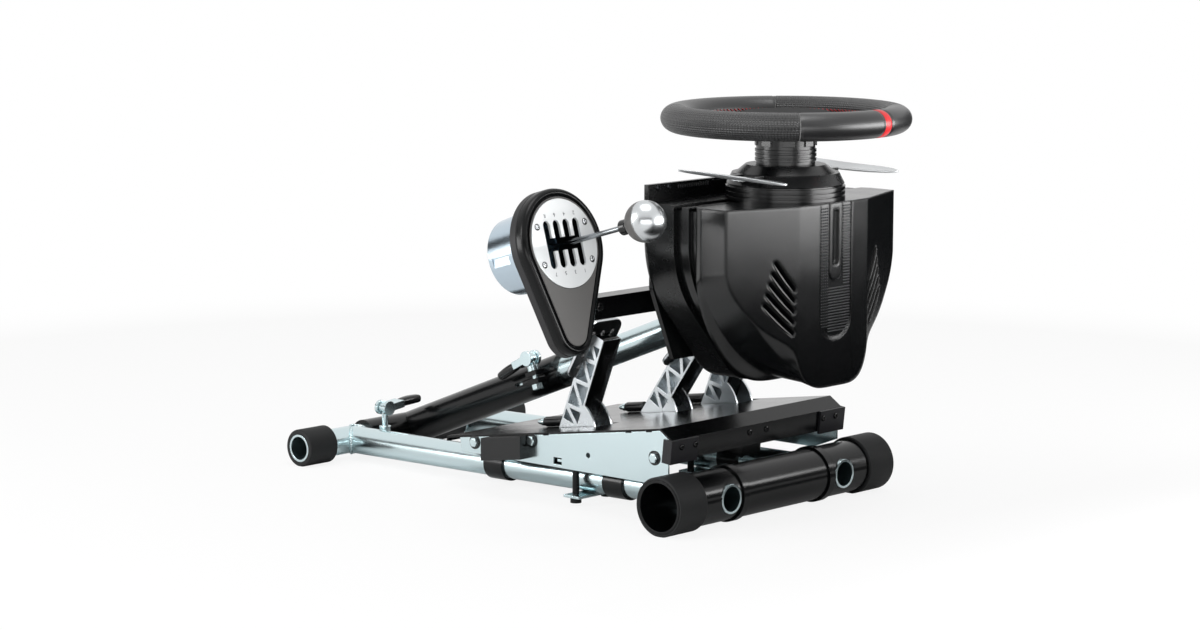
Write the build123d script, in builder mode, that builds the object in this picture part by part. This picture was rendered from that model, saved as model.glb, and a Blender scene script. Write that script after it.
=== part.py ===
"""Folding racing wheel stand with wheel base, gear shifter and pedal set.

Frame: origin on the floor midway between the rear cross tube and the front pipe.
+X is the driver's right, +Y points forward to the front pipe, +Z is up.
The stand is modelled folded, with the steering wheel facing up.
All sizes are in millimetres and all angles in degrees.
"""

import os
from math import atan2, cos, degrees, hypot, radians, sin, tan

from build123d import *

os.makedirs("parts", exist_ok=True)

# Clearances
SEAT = 0.15
RUN = 0.08

# Base frame of round tube
FRAME_LENGTH = 591.0
TRACK = 200.0
TUBE_OD = 33.7
TUBE_WALL = 2.6
REAR_TUBE_LENGTH = 375.0
FRONT_PIPE_LENGTH = 377.0
PIPE_OD = 60.3
PIPE_WALL = 2.9
RAIL_OVERRUN = 30.0
REAR_CAP_WALL = 6.0
FRONT_CAP_WALL = 3.2
CAP_LENGTH = 45.0
CAP_SQUASH = 0.5
RING_X = 76.0
RING_WIDTH = 10.0
RING_WALL = 2.2

# Pedal tray
TRAY_RIGHT_X = 143.0
TRAY_LEFT_X = -157.0
TRAY_REAR_Y = -82.5
TRAY_FRONT_Y = 257.0
TRAY_LIFT = 77.7
TRAY_SLOPE = 8.5
TRAY_SHEET = 2.5
TRAY_HOOK = 6.0
TRAY_NOSE_RUN = 17.4
TRAY_NOSE_DROP = 11.4
TRAY_FACE = 24.5
TRAY_FACE_LEAN = 6.3
SIDE_SHEET = 2.0
SIDE_REAR_Y = -60.0
SIDE_HEEL_Y = -57.0
SIDE_HEEL_LIFT = 17.3
SIDE_TOE_Y = 234.5
SIDE_TOE_LIFT = 14.1
SIDE_NOSE_DROP = 50.3
SIDE_HOLE = (147.0, 65.4)
SIDE_HOLE_R = 3.2
SIDE_WINDOW = (99.2, 52.7)
SIDE_WINDOW_LENGTH = 13.0
SIDE_WINDOW_HEIGHT = 8.0
CORNER_WIDTH = 45.0
CORNER_RETURN = 10.0
CORNER_SHEET = 3.0
CORNER_HEIGHT = 27.0
BLOCK_REAR_Y = -11.0
BLOCK_LENGTH = 64.0
BLOCK_THICK = 14.5
BLOCK_HEIGHT = 27.0
TONGUE_WIDTH = 32.0
TONGUE_DEPTH = 22.0
TONGUE_DROP = 26.0

# Tray supports on the rails
STRAP_YS = (-30.0, 161.5)
CLAMP_Y = 112.0
STRAP_WIDTH = 30.0
STRAP_WALL = 2.6
SADDLE_RISE = 5.0
SADDLE_WIDTH = 26.0
BEARER_SHEET = 3.0
CLAMP_BAR_LENGTH = 68.0
CLAMP_BAR_WIDTH = 24.0
CLAMP_BAR_SHEET = 3.0
CLAMP_BOLT_SPREAD = 26.0
CLAMP_BOLT_R = 4.0
CLAMP_HEAD_R = 6.5
CLAMP_HEAD = 6.0

# Pedals, each with its centre x, the y of its front foot and its lean from upright
GAS_X = 81.0
GAS_Y = 87.5
GAS_LEAN = 20.8
BRAKE_X = -54.0
BRAKE_Y = 98.4
BRAKE_LEAN = 34.7
CLUTCH_X = -129.0
CLUTCH_Y = 123.3
CLUTCH_LEAN = 20.5
ARM_WIDTH = 30.0
ARM_DEPTH = 27.0
ARM_LENGTH = 112.0
ARM_TAPER_START = 48.6
ARM_TIP = 16.4
ARM_WEB = 8.0
ARM_EDGE = 2.4
HINGE_DROP = 10.0
FIN_R = 46.0
FIN_SHEET = 2.5
PEDAL_PIN_R = 4.0
PEDAL_GAP = 5.0
BRACKET_SHEET = 3.0
BRACKET_DEPTH = 11.0
PAD_WIDTH = 56.0
PAD_LENGTH = 80.0
PAD_SHEET = 4.0
PAD_START = 2.0
PAD_ROUND = 14.0
PAD_HOLE_R = 3.2
PAD_HOLE_STEP = 16.0
PAD_HOLE_ROWS = 4
BUFFER_R = 6.0
BUFFER_LENGTH = 30.0
BUFFER_TIP_R = 3.0
BUFFER_TIP = 12.0

# Folding post
POST_ANGLE = 21.3
POST_OD = 42.4
POST_WALL = 2.6
POST_LENGTH = 293.0
POST_SLIT = 4.0
POST_SLIT_LENGTH = 70.0
SLEEVE_LENGTH = 160.0
EAR_REACH = 15.0
EAR_THICK = 6.0
EAR_LENGTH = 18.0
SLEEVE_EAR_X = 70.0
POST_EAR_BACK = 25.0
BUSH_LENGTH = 60.0
INNER_START = 110.0

# Clamp studs and levers
STUD_R = 4.0
EYE_R = 6.5
EYE_WIDTH = 9.0
EYE_RISE = 39.0
POST_EYE_RISE = 24.0
NUT_R = 7.5
NUT_HEIGHT = 6.5
COLLAR_R = 7.5
COLLAR_HEIGHT = 8.0
LEVER_PIN_R = 3.0
LEVER_CHEEK = 4.0
LEVER_CHEEK_R = 9.0
LEVER_GAP = 0.6
LEVER_NECK = 25.0
LEVER_NECK_HEIGHT = 9.0
GRIP_LENGTH = 34.0
GRIP_HEIGHT = 11.0
GRIP_WIDTH = 13.0
GRIP_ROUND = 3.0

# Wheel plate
HEAD_Y = 230.0
HEAD_Z = 290.0
PLATE_SHEET = 6.0
PLATE_FOOT = -111.3
PLATE_TOP = 48.0
PLATE_FOOT_WIDTH = 181.0
PLATE_WIDTH = 252.0
PLATE_SHOULDER = -28.0
GUSSET_SHEET = 3.0
GUSSET_HEIGHT = 40.0
GUSSET_REACH = 60.0

# Wheel base housing, heights from the plate's reference and depths in front of it
BASE_WIDTH = 292.0
BASE_TOP = 71.0
BASE_BOTTOM = -137.0
BASE_SHOULDER = -15.0
BASE_KEEL = 80.0
BASE_SHOULDER_R = 120.0
BASE_KEEL_R = 60.0
SHELL_DEPTH = 48.0
SHELL_ROUND = 9.0
BAND_DEPTH = 41.0
BAND_INSET = 6.0
BAND_RIB = 10.0
BAND_RIB_INSET = 1.5
HOOD_FLARE = 10.0
CREASE_X = 60.0
CREASE_DEPTH = 155.5
RIDGE_X = 28.0
RIDGE_RISE = 3.0
WING_FALL = 0.36
WING_REACH = 155.0
RING_LINE = ((144, -15), (135, -45), (122, -70), (103, -95), (83, -114), (55, -129), (0, -135))
HOOD_BACK_LINE = ((148, -5), (140, -28), (126, -51), (100, -82), (65, -109), (39, -122), (0, -132))
HOOD_MID_LINE = ((147, 2), (137, -24), (120, -46), (93, -75), (64, -101), (44, -122), (0, -133))
HOOD_MID_DEPTH = 136.0
HOOD_FRONT_LINE = (
    (146, 10),
    (135, -18),
    (120, -33),
    (100, -52),
    (80, -69),
    (64, -86),
    (58, -108),
    (48, -125),
    (0, -134),
)
STRIP_END = -80.0
STRIP_SINK = 1.2
STRIP_BAR = 22.0
STRIP_BAR_END = -15.0
STRIP_SLOT = 9.0
STRIP_SLOT_TOP = 63.0
STRIP_SLOT_END = 2.0
STRIP_SLOT_SINK = 4.0
LOUVRES = 5
LOUVRE_WIDTH = 5.0
LOUVRE_FIRST = ((89.0, 12.0), (64.0, -22.0))
LOUVRE_LAST = ((102.0, -34.0), (65.0, -70.0))
LOUVRE_FLOOR = 128.0
LIP_WIDTH = 282.0
LIP_HEIGHT = 19.0
LIP_SHEET = 6.0

# Steering hub, wheel and paddles
AXIS_DEPTH = 85.0
COLLAR_OD = 134.0
COLLAR_RINGS = 3
COLLAR_RING = 3.8
COLLAR_GROOVE = 1.6
COLLAR_STEP = 3.0
SPINDLE_R = 14.0
HUB_GAP = 1.0
SKIRT_R = 66.0
SKIRT_TOP_R = 60.0
SKIRT_HEIGHT = 12.0
CONE_R = 56.0
CONE_TOP_R = 45.0
CONE_HEIGHT = 9.0
STEM_R = 33.0
STEM_TOP = 147.0
STEM_RIBS = 3
STEM_RIB_START = 4.0
STEM_RIB_STEP = 5.0
STEM_RIB_HEIGHT = 3.0
STEM_RELIEF = 1.4
STEM_PADS = 8
STEM_PAD_WIDTH = 13.0
STEM_PAD_HEIGHT = 14.0
STEM_PAD_DROP = 3.0
WHEEL_OD = 280.0
WHEEL_H = 160.0
GRIP_SECTION = 35.0
GRIP_SECTION_DEPTH = 31.0
SPOKE_SHEET = 9.0
SPOKE_WIDTH = 46.0
BOSS_R = 52.0
BOSS_HEIGHT = 12.0
BOSS_ROUND = 6.0
PADDLE_PIN_X = 68.0
PADDLE_PIN_R = 2.0
PADDLE_PIN_RISE = 9.0
PADDLE_LUG = 10.0
PADDLE_LUG_SHEET = 5.0
PADDLE_TAB = 22.0
PADDLE_TIP = 143.0
PADDLE_WIDTH = 34.0
PADDLE_SHEET = 2.5
PADDLE_GAP = 1.0

# Gear shifter on its arm
ARM_TUBE = 25.0
ARM_TUBE_WALL = 2.0
ARM_TUBE_Y = 168.0
ARM_TUBE_RISE = 25.8
ARM_TUBE_LEFT = -43.0
ARM_TUBE_RIGHT = 225.0
SHIFT_X = 235.0
SHIFT_Y = 198.4
SHIFT_RISE = 91.8
SHIFT_LIFT = 16.0
SHIFT_HEAD_R = 62.0
SHIFT_FOOT_R = 27.2
SHIFT_FOOT_DROP = 96.0
SHIFT_FOOT_SIDE = -9.8
SHIFT_THICK = 22.5
SHIFT_ROUND = 7.0
SHIFT_SEAM_BACK = 13.0
SHIFT_SEAM_WIDTH = 1.4
SHIFT_SEAM_SINK = 0.9
GATE_R = 49.8
GATE_SHEET = 3.0
GATE_STEP = 15.2
GATE_SLOT = 10.2
GATE_HALF = 26.7
GATE_NEUTRAL = 14.4
INSERT_DEPTH = 1.0
PANEL_INSET = 10.6
PANEL_MARGIN = 2.0
HOUSING_R = 47.0
HOUSING_BACK_R = 43.0
HOUSING_DEPTH = 55.5
HOUSING_WALL = 4.0
NOTCH_LENGTH = 28.0
NOTCH_HEIGHT = 10.0
NOTCH_BACK = 58.0
NOTCH_DROP = 5.5
NOTCH_FLOOR = 42.0
PIVOT_DEPTH = 62.0
GIMBAL_R = 4.0
GIMBAL_HUB_R = 8.0
GIMBAL_HUB = 12.0
GIMBAL_BOSS = 10.0
GEAR_ROD_R = 3.0
GEAR_PIN_R = 3.0
GEAR_FORK = 4.0
GEAR_FORK_GAP = 0.6
GEAR_FORK_R = 7.0
GEAR_BRIDGE = 11.0
GEAR_COLLAR_R = 8.5
GEAR_COLLAR = 12.0
KNOB_R = 22.8
KNOB_REACH = 116.0

SIDES = (("left", -1), ("right", 1))
PEDALS = (
    ("gas", GAS_X, GAS_Y, GAS_LEAN),
    ("brake", BRAKE_X, BRAKE_Y, BRAKE_LEAN),
    ("clutch", CLUTCH_X, CLUTCH_Y, CLUTCH_LEAN),
)

# Values worked out from the sizes above
TUBE_R = TUBE_OD / 2
PIPE_R = PIPE_OD / 2
POST_R = POST_OD / 2
REAR_CAP_R = TUBE_R + SEAT + REAR_CAP_WALL
FRONT_CAP_R = PIPE_R + SEAT + FRONT_CAP_WALL
REAR_Y = -FRAME_LENGTH / 2
PIPE_Y = FRAME_LENGTH / 2
REAR_Z = REAR_CAP_R - CAP_SQUASH
PIPE_Z = FRONT_CAP_R - CAP_SQUASH
RAIL_SLOPE = degrees(atan2(PIPE_Z - REAR_Z, FRAME_LENGTH))
RAIL_LENGTH = FRAME_LENGTH / cos(radians(RAIL_SLOPE)) + RAIL_OVERRUN
POST_HINGE = (0, REAR_Y, REAR_Z)
SHIFT_LEVER_X = GATE_STEP / 2
ARM_TUBE_Z = REAR_Z + (ARM_TUBE_Y - REAR_Y) * tan(radians(POST_ANGLE)) + ARM_TUBE_RISE
SHIFT_Z = ARM_TUBE_Z + SHIFT_RISE


def save(piece, name):
    """Label a finished piece and write it."""
    piece.part.label = name
    export_step(piece.part, f"parts/{name}.step")


def rail_z(y):
    """Height of the rail axis at a place along the frame."""
    return REAR_Z + (y - REAR_Y) * tan(radians(RAIL_SLOPE))


TRAY_FRONT_Z = rail_z(TRAY_FRONT_Y) + TRAY_LIFT


def tray_z(y):
    """Height of the tray's top surface at a place along the frame."""
    return TRAY_FRONT_Z - (TRAY_FRONT_Y - y) * tan(radians(TRAY_SLOPE))


def rising_plane(origin, angle):
    """Plane facing forward and up by an angle, with local -y pointing up."""
    return Plane(origin=origin, x_dir=(1, 0, 0), z_dir=(0, cos(radians(angle)), sin(radians(angle))))


def mitred_strip(points, thickness):
    """Closed outline of a bent sheet that lies to the right of a line of points."""
    normals = []
    for (y0, z0), (y1, z1) in zip(points, points[1:]):
        run = hypot(y1 - y0, z1 - z0)
        normals.append(((z1 - z0) / run, (y0 - y1) / run))
    inner = []
    for index, (y, z) in enumerate(points):
        before = normals[max(index - 1, 0)]
        after = normals[min(index, len(normals) - 1)]
        scale = thickness / (1 + before[0] * after[0] + before[1] * after[1])
        inner.append((y + scale * (before[0] + after[0]), z + scale * (before[1] + after[1])))
    return list(points) + inner[::-1]


def inset_triangle(corners, margin):
    """Triangle shrunk towards its incentre so that every side moves in by a margin."""
    (ax, ay), (bx, by), (cx, cy) = corners
    a = hypot(bx - cx, by - cy)
    b = hypot(ax - cx, ay - cy)
    c = hypot(ax - bx, ay - by)
    mx = (a * ax + b * bx + c * cx) / (a + b + c)
    my = (a * ay + b * by + c * cy) / (a + b + c)
    area = abs((bx - ax) * (cy - ay) - (cx - ax) * (by - ay)) / 2
    shrink = 1 - margin / (2 * area / (a + b + c))
    return [(mx + (x - mx) * shrink, my + (y - my) * shrink) for x, y in corners]


def cross_sleeve(y, z, outer, inner, start, length):
    """Round sleeve along X."""
    with BuildPart() as sleeve:
        with BuildSketch(Plane.YZ.offset(start)):
            with Locations((y, z)):
                Circle(outer)
                Circle(inner, mode=Mode.SUBTRACT)
        extrude(amount=length)
    return sleeve


# Base frame: rear cross tube, two rails and the front pipe

rear_tube = cross_sleeve(
    REAR_Y, REAR_Z, TUBE_R, TUBE_R - TUBE_WALL, -REAR_TUBE_LENGTH / 2, REAR_TUBE_LENGTH
)
save(rear_tube, "rear_tube")

with BuildPart() as rails:
    for side, sign in SIDES:
        with BuildSketch(rising_plane((sign * TRACK / 2, REAR_Y, REAR_Z), RAIL_SLOPE)):
            Circle(TUBE_R)
            Circle(TUBE_R - TUBE_WALL, mode=Mode.SUBTRACT)
        extrude(amount=RAIL_LENGTH)
    with BuildSketch(Plane.YZ):
        with Locations((REAR_Y, REAR_Z)):
            Circle(TUBE_R + SEAT)
    extrude(amount=TRACK, both=True, mode=Mode.SUBTRACT)
save(rails, "rails")

with BuildPart() as front_pipe:
    with BuildSketch(Plane.YZ.offset(-FRONT_PIPE_LENGTH / 2)):
        with Locations((PIPE_Y, PIPE_Z)):
            Circle(PIPE_R)
            Circle(PIPE_R - PIPE_WALL, mode=Mode.SUBTRACT)
    extrude(amount=FRONT_PIPE_LENGTH)
    for side, sign in SIDES:
        with BuildSketch(rising_plane((sign * TRACK / 2, REAR_Y, REAR_Z), RAIL_SLOPE)):
            Circle(TUBE_R + SEAT)
        extrude(amount=RAIL_LENGTH + PIPE_OD, mode=Mode.SUBTRACT)
save(front_pipe, "front_pipe")

with BuildPart() as rear_caps:
    for side, sign in SIDES:
        cap_mid = sign * (REAR_TUBE_LENGTH - CAP_LENGTH) / 2
        with BuildSketch(Plane.YZ.offset(cap_mid)):
            with Locations((REAR_Y, REAR_Z)):
                Circle(REAR_CAP_R)
                Circle(TUBE_R + SEAT, mode=Mode.SUBTRACT)
        extrude(amount=CAP_LENGTH / 2, both=True)
    split(bisect_by=Plane.XY, keep=Keep.TOP)
save(rear_caps, "rear_caps")

with BuildPart() as front_caps:
    for side, sign in SIDES:
        cap_mid = sign * (FRONT_PIPE_LENGTH - CAP_LENGTH) / 2
        with BuildSketch(Plane.YZ.offset(cap_mid)):
            with Locations((PIPE_Y, PIPE_Z)):
                Circle(FRONT_CAP_R)
                Circle(PIPE_R + SEAT, mode=Mode.SUBTRACT)
        extrude(amount=CAP_LENGTH / 2, both=True)
    split(bisect_by=Plane.XY, keep=Keep.TOP)
save(front_caps, "front_caps")

with BuildPart() as pipe_rings:
    for side, sign in SIDES:
        with BuildSketch(Plane.YZ.offset(sign * RING_X - RING_WIDTH / 2)):
            with Locations((PIPE_Y, PIPE_Z)):
                Circle(PIPE_R + SEAT + RING_WALL)
                Circle(PIPE_R + SEAT, mode=Mode.SUBTRACT)
        extrude(amount=RING_WIDTH)
save(pipe_rings, "pipe_rings")

# Tray supports: straps and saddles round the rails, cross bearers and clamp bars


def bearer_z(y):
    """Underside of a cross bearer."""
    return rail_z(y) + TUBE_R + SADDLE_RISE


with BuildPart() as rail_straps:
    for y in STRAP_YS:
        for side, sign in SIDES:
            strap_plane = rising_plane((sign * TRACK / 2, y, rail_z(y)), RAIL_SLOPE)
            with BuildSketch(strap_plane):
                Circle(TUBE_R + SEAT + STRAP_WALL)
                with Locations((0, -TUBE_R)):
                    Rectangle(SADDLE_WIDTH, 2 * SADDLE_RISE + TUBE_R)
                Circle(TUBE_R + SEAT, mode=Mode.SUBTRACT)
            extrude(amount=STRAP_WIDTH / 2, both=True)
    for y in STRAP_YS:
        with BuildSketch(Plane.XY.offset(bearer_z(y))):
            with Locations((0, y)):
                Rectangle(2 * TRACK, 2 * STRAP_WIDTH)
        extrude(amount=STRAP_WIDTH, mode=Mode.SUBTRACT)
save(rail_straps, "rail_straps")

BEARER_SPAN = TRAY_RIGHT_X - TRAY_LEFT_X - 2 * SIDE_SHEET
BEARER_X = (TRAY_RIGHT_X + TRAY_LEFT_X) / 2

with BuildPart() as tray_bearers:
    for y in (*STRAP_YS, CLAMP_Y):
        with BuildSketch(Plane.XY.offset(bearer_z(y))):
            with Locations((BEARER_X, y)):
                Rectangle(BEARER_SPAN, STRAP_WIDTH)
        extrude(amount=BEARER_SHEET)
save(tray_bearers, "tray_bearers")

CLAMP_TOP = rail_z(CLAMP_Y) - TUBE_R - SEAT - CLAMP_BAR_WIDTH / 2 * tan(radians(RAIL_SLOPE))

with BuildPart() as clamp_bars:
    for side, sign in SIDES:
        with BuildSketch(Plane.XY.offset(CLAMP_TOP - CLAMP_BAR_SHEET)):
            with Locations((sign * TRACK / 2, CLAMP_Y)):
                Rectangle(CLAMP_BAR_LENGTH, CLAMP_BAR_WIDTH)
            with Locations((sign * TRACK / 2, CLAMP_Y)):
                with GridLocations(2 * CLAMP_BOLT_SPREAD, 0, 2, 1):
                    Circle(CLAMP_BOLT_R + SEAT, mode=Mode.SUBTRACT)
        extrude(amount=CLAMP_BAR_SHEET)
save(clamp_bars, "clamp_bars")

with BuildPart() as clamp_bolts:
    for side, sign in SIDES:
        for spread in (-CLAMP_BOLT_SPREAD, CLAMP_BOLT_SPREAD):
            with BuildSketch(Plane.XY.offset(CLAMP_TOP - CLAMP_BAR_SHEET - CLAMP_HEAD)):
                with Locations((sign * TRACK / 2 + spread, CLAMP_Y)):
                    Circle(CLAMP_HEAD_R)
            extrude(amount=CLAMP_HEAD)
            with BuildSketch(Plane.XY.offset(CLAMP_TOP - CLAMP_BAR_SHEET)):
                with Locations((sign * TRACK / 2 + spread, CLAMP_Y)):
                    Circle(CLAMP_BOLT_R)
            extrude(amount=bearer_z(CLAMP_Y) - CLAMP_TOP + CLAMP_BAR_SHEET)
save(clamp_bolts, "clamp_bolts")

# Pedal tray: folded top sheet, side plates, corner angles, side blocks and front tongue

NOSE_Y = TRAY_FRONT_Y + TRAY_NOSE_RUN
NOSE_Z = TRAY_FRONT_Z - TRAY_NOSE_DROP
FACE_Y = NOSE_Y - TRAY_FACE * sin(radians(TRAY_FACE_LEAN))
FACE_Z = NOSE_Z - TRAY_FACE * cos(radians(TRAY_FACE_LEAN))
TRAY_LINE = (
    (TRAY_REAR_Y, tray_z(TRAY_REAR_Y) - TRAY_HOOK),
    (TRAY_REAR_Y, tray_z(TRAY_REAR_Y)),
    (TRAY_FRONT_Y, TRAY_FRONT_Z),
    (NOSE_Y, NOSE_Z),
    (FACE_Y, FACE_Z),
)
TRAY_OUTLINE = mitred_strip(TRAY_LINE, TRAY_SHEET)
TRAY_UNDER = TRAY_OUTLINE[len(TRAY_LINE):][::-1]


class Pedal:
    """Places of one pedal, worked out from its foot and lean."""

    def __init__(self, name, x, foot_y, lean):
        self.name = name
        self.x = x
        self.foot = (foot_y, tray_z(foot_y))
        self.lean = radians(lean)
        depth = ARM_DEPTH / 2
        self.hinge_rise = -(HINGE_DROP + depth * sin(self.lean)) / cos(self.lean)
        self.hinge = self.point(depth, self.hinge_rise)

    def point(self, back, rise):
        """Place in the YZ plane of a point behind the front edge and up the arm."""
        y = self.foot[0] + rise * sin(self.lean) - back * cos(self.lean)
        z = self.foot[1] + rise * cos(self.lean) + back * sin(self.lean)
        return (y, z)

    def direction(self, back, rise):
        """Direction in space of a step behind the front edge and up the arm."""
        y, z = self.point(back, rise)
        return Vector(0, y - self.foot[0], z - self.foot[1])

    def slot_ends(self):
        """Rear and front ends of the tray slot that the arm swings in."""
        return (self.hinge[0] - ARM_DEPTH / 2 - PEDAL_GAP, self.hinge[0] + FIN_R + PEDAL_GAP)


PEDAL_SET = [Pedal(*row) for row in PEDALS]
SLOT_WIDTH = ARM_WIDTH + 2 * PEDAL_GAP

with BuildPart() as tray_top:
    with BuildSketch(Plane.YZ.offset(TRAY_LEFT_X)):
        Polygon(*TRAY_OUTLINE, align=None)
    extrude(amount=TRAY_RIGHT_X - TRAY_LEFT_X)
    with BuildSketch(Plane.XY.offset(tray_z(TRAY_REAR_Y))):
        for pedal in PEDAL_SET:
            rear, front = pedal.slot_ends()
            with Locations((pedal.x, (rear + front) / 2)):
                Rectangle(SLOT_WIDTH, front - rear)
    extrude(amount=TRAY_FRONT_Z, mode=Mode.SUBTRACT)
save(tray_top, "tray_top")

SIDE_OUTLINE = (
    (SIDE_REAR_Y, tray_z(SIDE_REAR_Y) - TRAY_SHEET / cos(radians(TRAY_SLOPE))),
    TRAY_UNDER[2],
    TRAY_UNDER[3],
    (FACE_Y - TRAY_SHEET - SEAT, FACE_Z),
    (FACE_Y - TRAY_SHEET - SEAT, TRAY_FRONT_Z - SIDE_NOSE_DROP),
    (SIDE_TOE_Y, rail_z(SIDE_TOE_Y) + SIDE_TOE_LIFT),
    (SIDE_HEEL_Y, rail_z(SIDE_HEEL_Y) + SIDE_HEEL_LIFT),
)

with BuildPart() as tray_sides:
    for start in (TRAY_LEFT_X, TRAY_RIGHT_X - SIDE_SHEET):
        with BuildSketch(Plane.YZ.offset(start)):
            Polygon(*SIDE_OUTLINE, align=None)
            with Locations(SIDE_HOLE):
                Circle(SIDE_HOLE_R, mode=Mode.SUBTRACT)
            with Locations(SIDE_WINDOW):
                Rectangle(SIDE_WINDOW_LENGTH, SIDE_WINDOW_HEIGHT, mode=Mode.SUBTRACT)
        extrude(amount=SIDE_SHEET)
save(tray_sides, "tray_sides")

FACE_PLANE = Plane(
    origin=(0, NOSE_Y, NOSE_Z),
    x_dir=(-1, 0, 0),
    z_dir=(0, cos(radians(TRAY_FACE_LEAN)), -sin(radians(TRAY_FACE_LEAN))),
)

with BuildPart() as tray_corners:
    for side, sign, outside in (("left", -1, TRAY_LEFT_X), ("right", 1, TRAY_RIGHT_X)):
        outer = outside + sign * (SEAT + CORNER_SHEET)
        inner = outside - sign * (CORNER_WIDTH - CORNER_SHEET)
        with BuildSketch(FACE_PLANE.offset(SEAT)):
            with Locations((-(outer + inner) / 2, -CORNER_HEIGHT / 2)):
                Rectangle(abs(outer - inner), CORNER_HEIGHT)
        extrude(amount=CORNER_SHEET)
        with BuildSketch(FACE_PLANE.offset(SEAT)):
            with Locations((-(outer - sign * CORNER_SHEET / 2), -CORNER_HEIGHT / 2)):
                Rectangle(CORNER_SHEET, CORNER_HEIGHT)
        extrude(amount=-CORNER_RETURN)
save(tray_corners, "tray_corners")

with BuildPart() as tray_blocks:
    for side, start in (("left", TRAY_LEFT_X - BLOCK_THICK), ("right", TRAY_RIGHT_X)):
        block_front = BLOCK_REAR_Y + BLOCK_LENGTH
        rear_top = tray_z(BLOCK_REAR_Y) - TRAY_SHEET
        front_top = tray_z(block_front) - TRAY_SHEET
        with BuildSketch(Plane.YZ.offset(start)):
            Polygon(
                (BLOCK_REAR_Y, rear_top - BLOCK_HEIGHT),
                (BLOCK_REAR_Y, rear_top),
                (block_front, front_top),
                (block_front, front_top - BLOCK_HEIGHT),
                align=None,
            )
        extrude(amount=BLOCK_THICK)
save(tray_blocks, "tray_blocks")

with BuildPart() as tray_tongue:
    with BuildSketch(FACE_PLANE.offset(-TRAY_SHEET)):
        with Locations((0, -TRAY_FACE)):
            Rectangle(TONGUE_WIDTH, TRAY_FACE)
    extrude(amount=-TRAY_SHEET)
    for side, sign in SIDES:
        with BuildSketch(FACE_PLANE.offset(-TRAY_SHEET)):
            with Locations((sign * (TONGUE_WIDTH - TRAY_SHEET) / 2, -TRAY_FACE / 2 - TONGUE_DROP / 2)):
                Rectangle(TRAY_SHEET, TONGUE_DROP)
        extrude(amount=-TONGUE_DEPTH)
save(tray_tongue, "tray_tongue")

# Pedals: truss arms with pads, brackets under the tray and buffers behind the feet

ARM_STATIONS = ((-4.0, -2.0), (16.0, 20.0), (ARM_TAPER_START, 53.0), (79.0, 82.0), (102.0, 103.0))


def arm_back(rise):
    """Depth of the arm behind its front edge at a rise along it."""
    if rise <= ARM_TAPER_START:
        return ARM_DEPTH
    share = (rise - ARM_TAPER_START) / (ARM_LENGTH - ARM_TAPER_START)
    return ARM_DEPTH + (ARM_TIP - ARM_DEPTH) * share


TAPER_RUN = hypot(ARM_LENGTH - ARM_TAPER_START, ARM_DEPTH - ARM_TIP)
PAD_ALONG = ((ARM_TIP - ARM_DEPTH) / TAPER_RUN, (ARM_LENGTH - ARM_TAPER_START) / TAPER_RUN)

for pedal in PEDAL_SET:
    hinge_y, hinge_z = pedal.hinge
    with BuildPart() as arm:
        with BuildSketch(Plane.YZ.offset(pedal.x - ARM_WIDTH / 2)):
            Polygon(
                pedal.point(0, pedal.hinge_rise),
                pedal.point(0, ARM_LENGTH),
                pedal.point(ARM_TIP, ARM_LENGTH),
                pedal.point(ARM_DEPTH, ARM_TAPER_START),
                pedal.point(ARM_DEPTH, pedal.hinge_rise),
                align=None,
            )
            with Locations(pedal.hinge):
                Circle(ARM_DEPTH / 2)
        extrude(amount=ARM_WIDTH)
        for start in (pedal.x - ARM_WIDTH / 2, pedal.x + ARM_WIDTH / 2 - FIN_SHEET):
            with BuildSketch(Plane.YZ.offset(start)):
                with BuildLine():
                    fin_top = (hinge_y + FIN_R * sin(pedal.lean), hinge_z + FIN_R * cos(pedal.lean))
                    fin_mid = radians(45) - pedal.lean / 2
                    Line(pedal.hinge, fin_top)
                    ThreePointArc(
                        fin_top,
                        (hinge_y + FIN_R * cos(fin_mid), hinge_z + FIN_R * sin(fin_mid)),
                        (hinge_y + FIN_R, hinge_z),
                    )
                    Line((hinge_y + FIN_R, hinge_z), pedal.hinge)
                make_face()
            extrude(amount=FIN_SHEET)
        pockets = []
        for (rear0, front0), (rear1, front1) in zip(ARM_STATIONS, ARM_STATIONS[1:]):
            low_rear = (arm_back(rear0), rear0)
            low_front = (0, front0)
            high_rear = (arm_back(rear1), rear1)
            high_front = (0, front1)
            pockets.append((low_rear, low_front, high_rear))
            pockets.append((high_rear, low_front, high_front))
        for face_x, direction in ((pedal.x - ARM_WIDTH / 2, 1), (pedal.x + ARM_WIDTH / 2, -1)):
            with BuildSketch(Plane.YZ.offset(face_x)):
                for corners in pockets:
                    Polygon(*[pedal.point(*p) for p in inset_triangle(corners, ARM_EDGE)], align=None)
            extrude(amount=direction * (ARM_WIDTH - ARM_WEB) / 2, mode=Mode.SUBTRACT)
        with BuildSketch(Plane.YZ.offset(pedal.x - ARM_WIDTH / 2)):
            with Locations(pedal.hinge):
                Circle(PEDAL_PIN_R + RUN)
        extrude(amount=ARM_WIDTH, mode=Mode.SUBTRACT)
    save(arm, f"{pedal.name}_arm")

    pad_low = (ARM_DEPTH + PAD_START * PAD_ALONG[0], ARM_TAPER_START + PAD_START * PAD_ALONG[1])
    pad_plane = Plane(
        origin=(pedal.x, *pedal.point(*pad_low)),
        x_dir=(1, 0, 0),
        z_dir=pedal.direction(PAD_ALONG[1], -PAD_ALONG[0]),
    )
    with BuildPart() as pad:
        with BuildSketch(pad_plane):
            with Locations((0, PAD_LENGTH / 2)):
                RectangleRounded(PAD_WIDTH, PAD_LENGTH, PAD_ROUND)
                with GridLocations(PAD_HOLE_STEP, PAD_HOLE_STEP, 3, PAD_HOLE_ROWS):
                    Circle(PAD_HOLE_R, mode=Mode.SUBTRACT)
        extrude(amount=PAD_SHEET)
    save(pad, f"{pedal.name}_pad")


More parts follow.
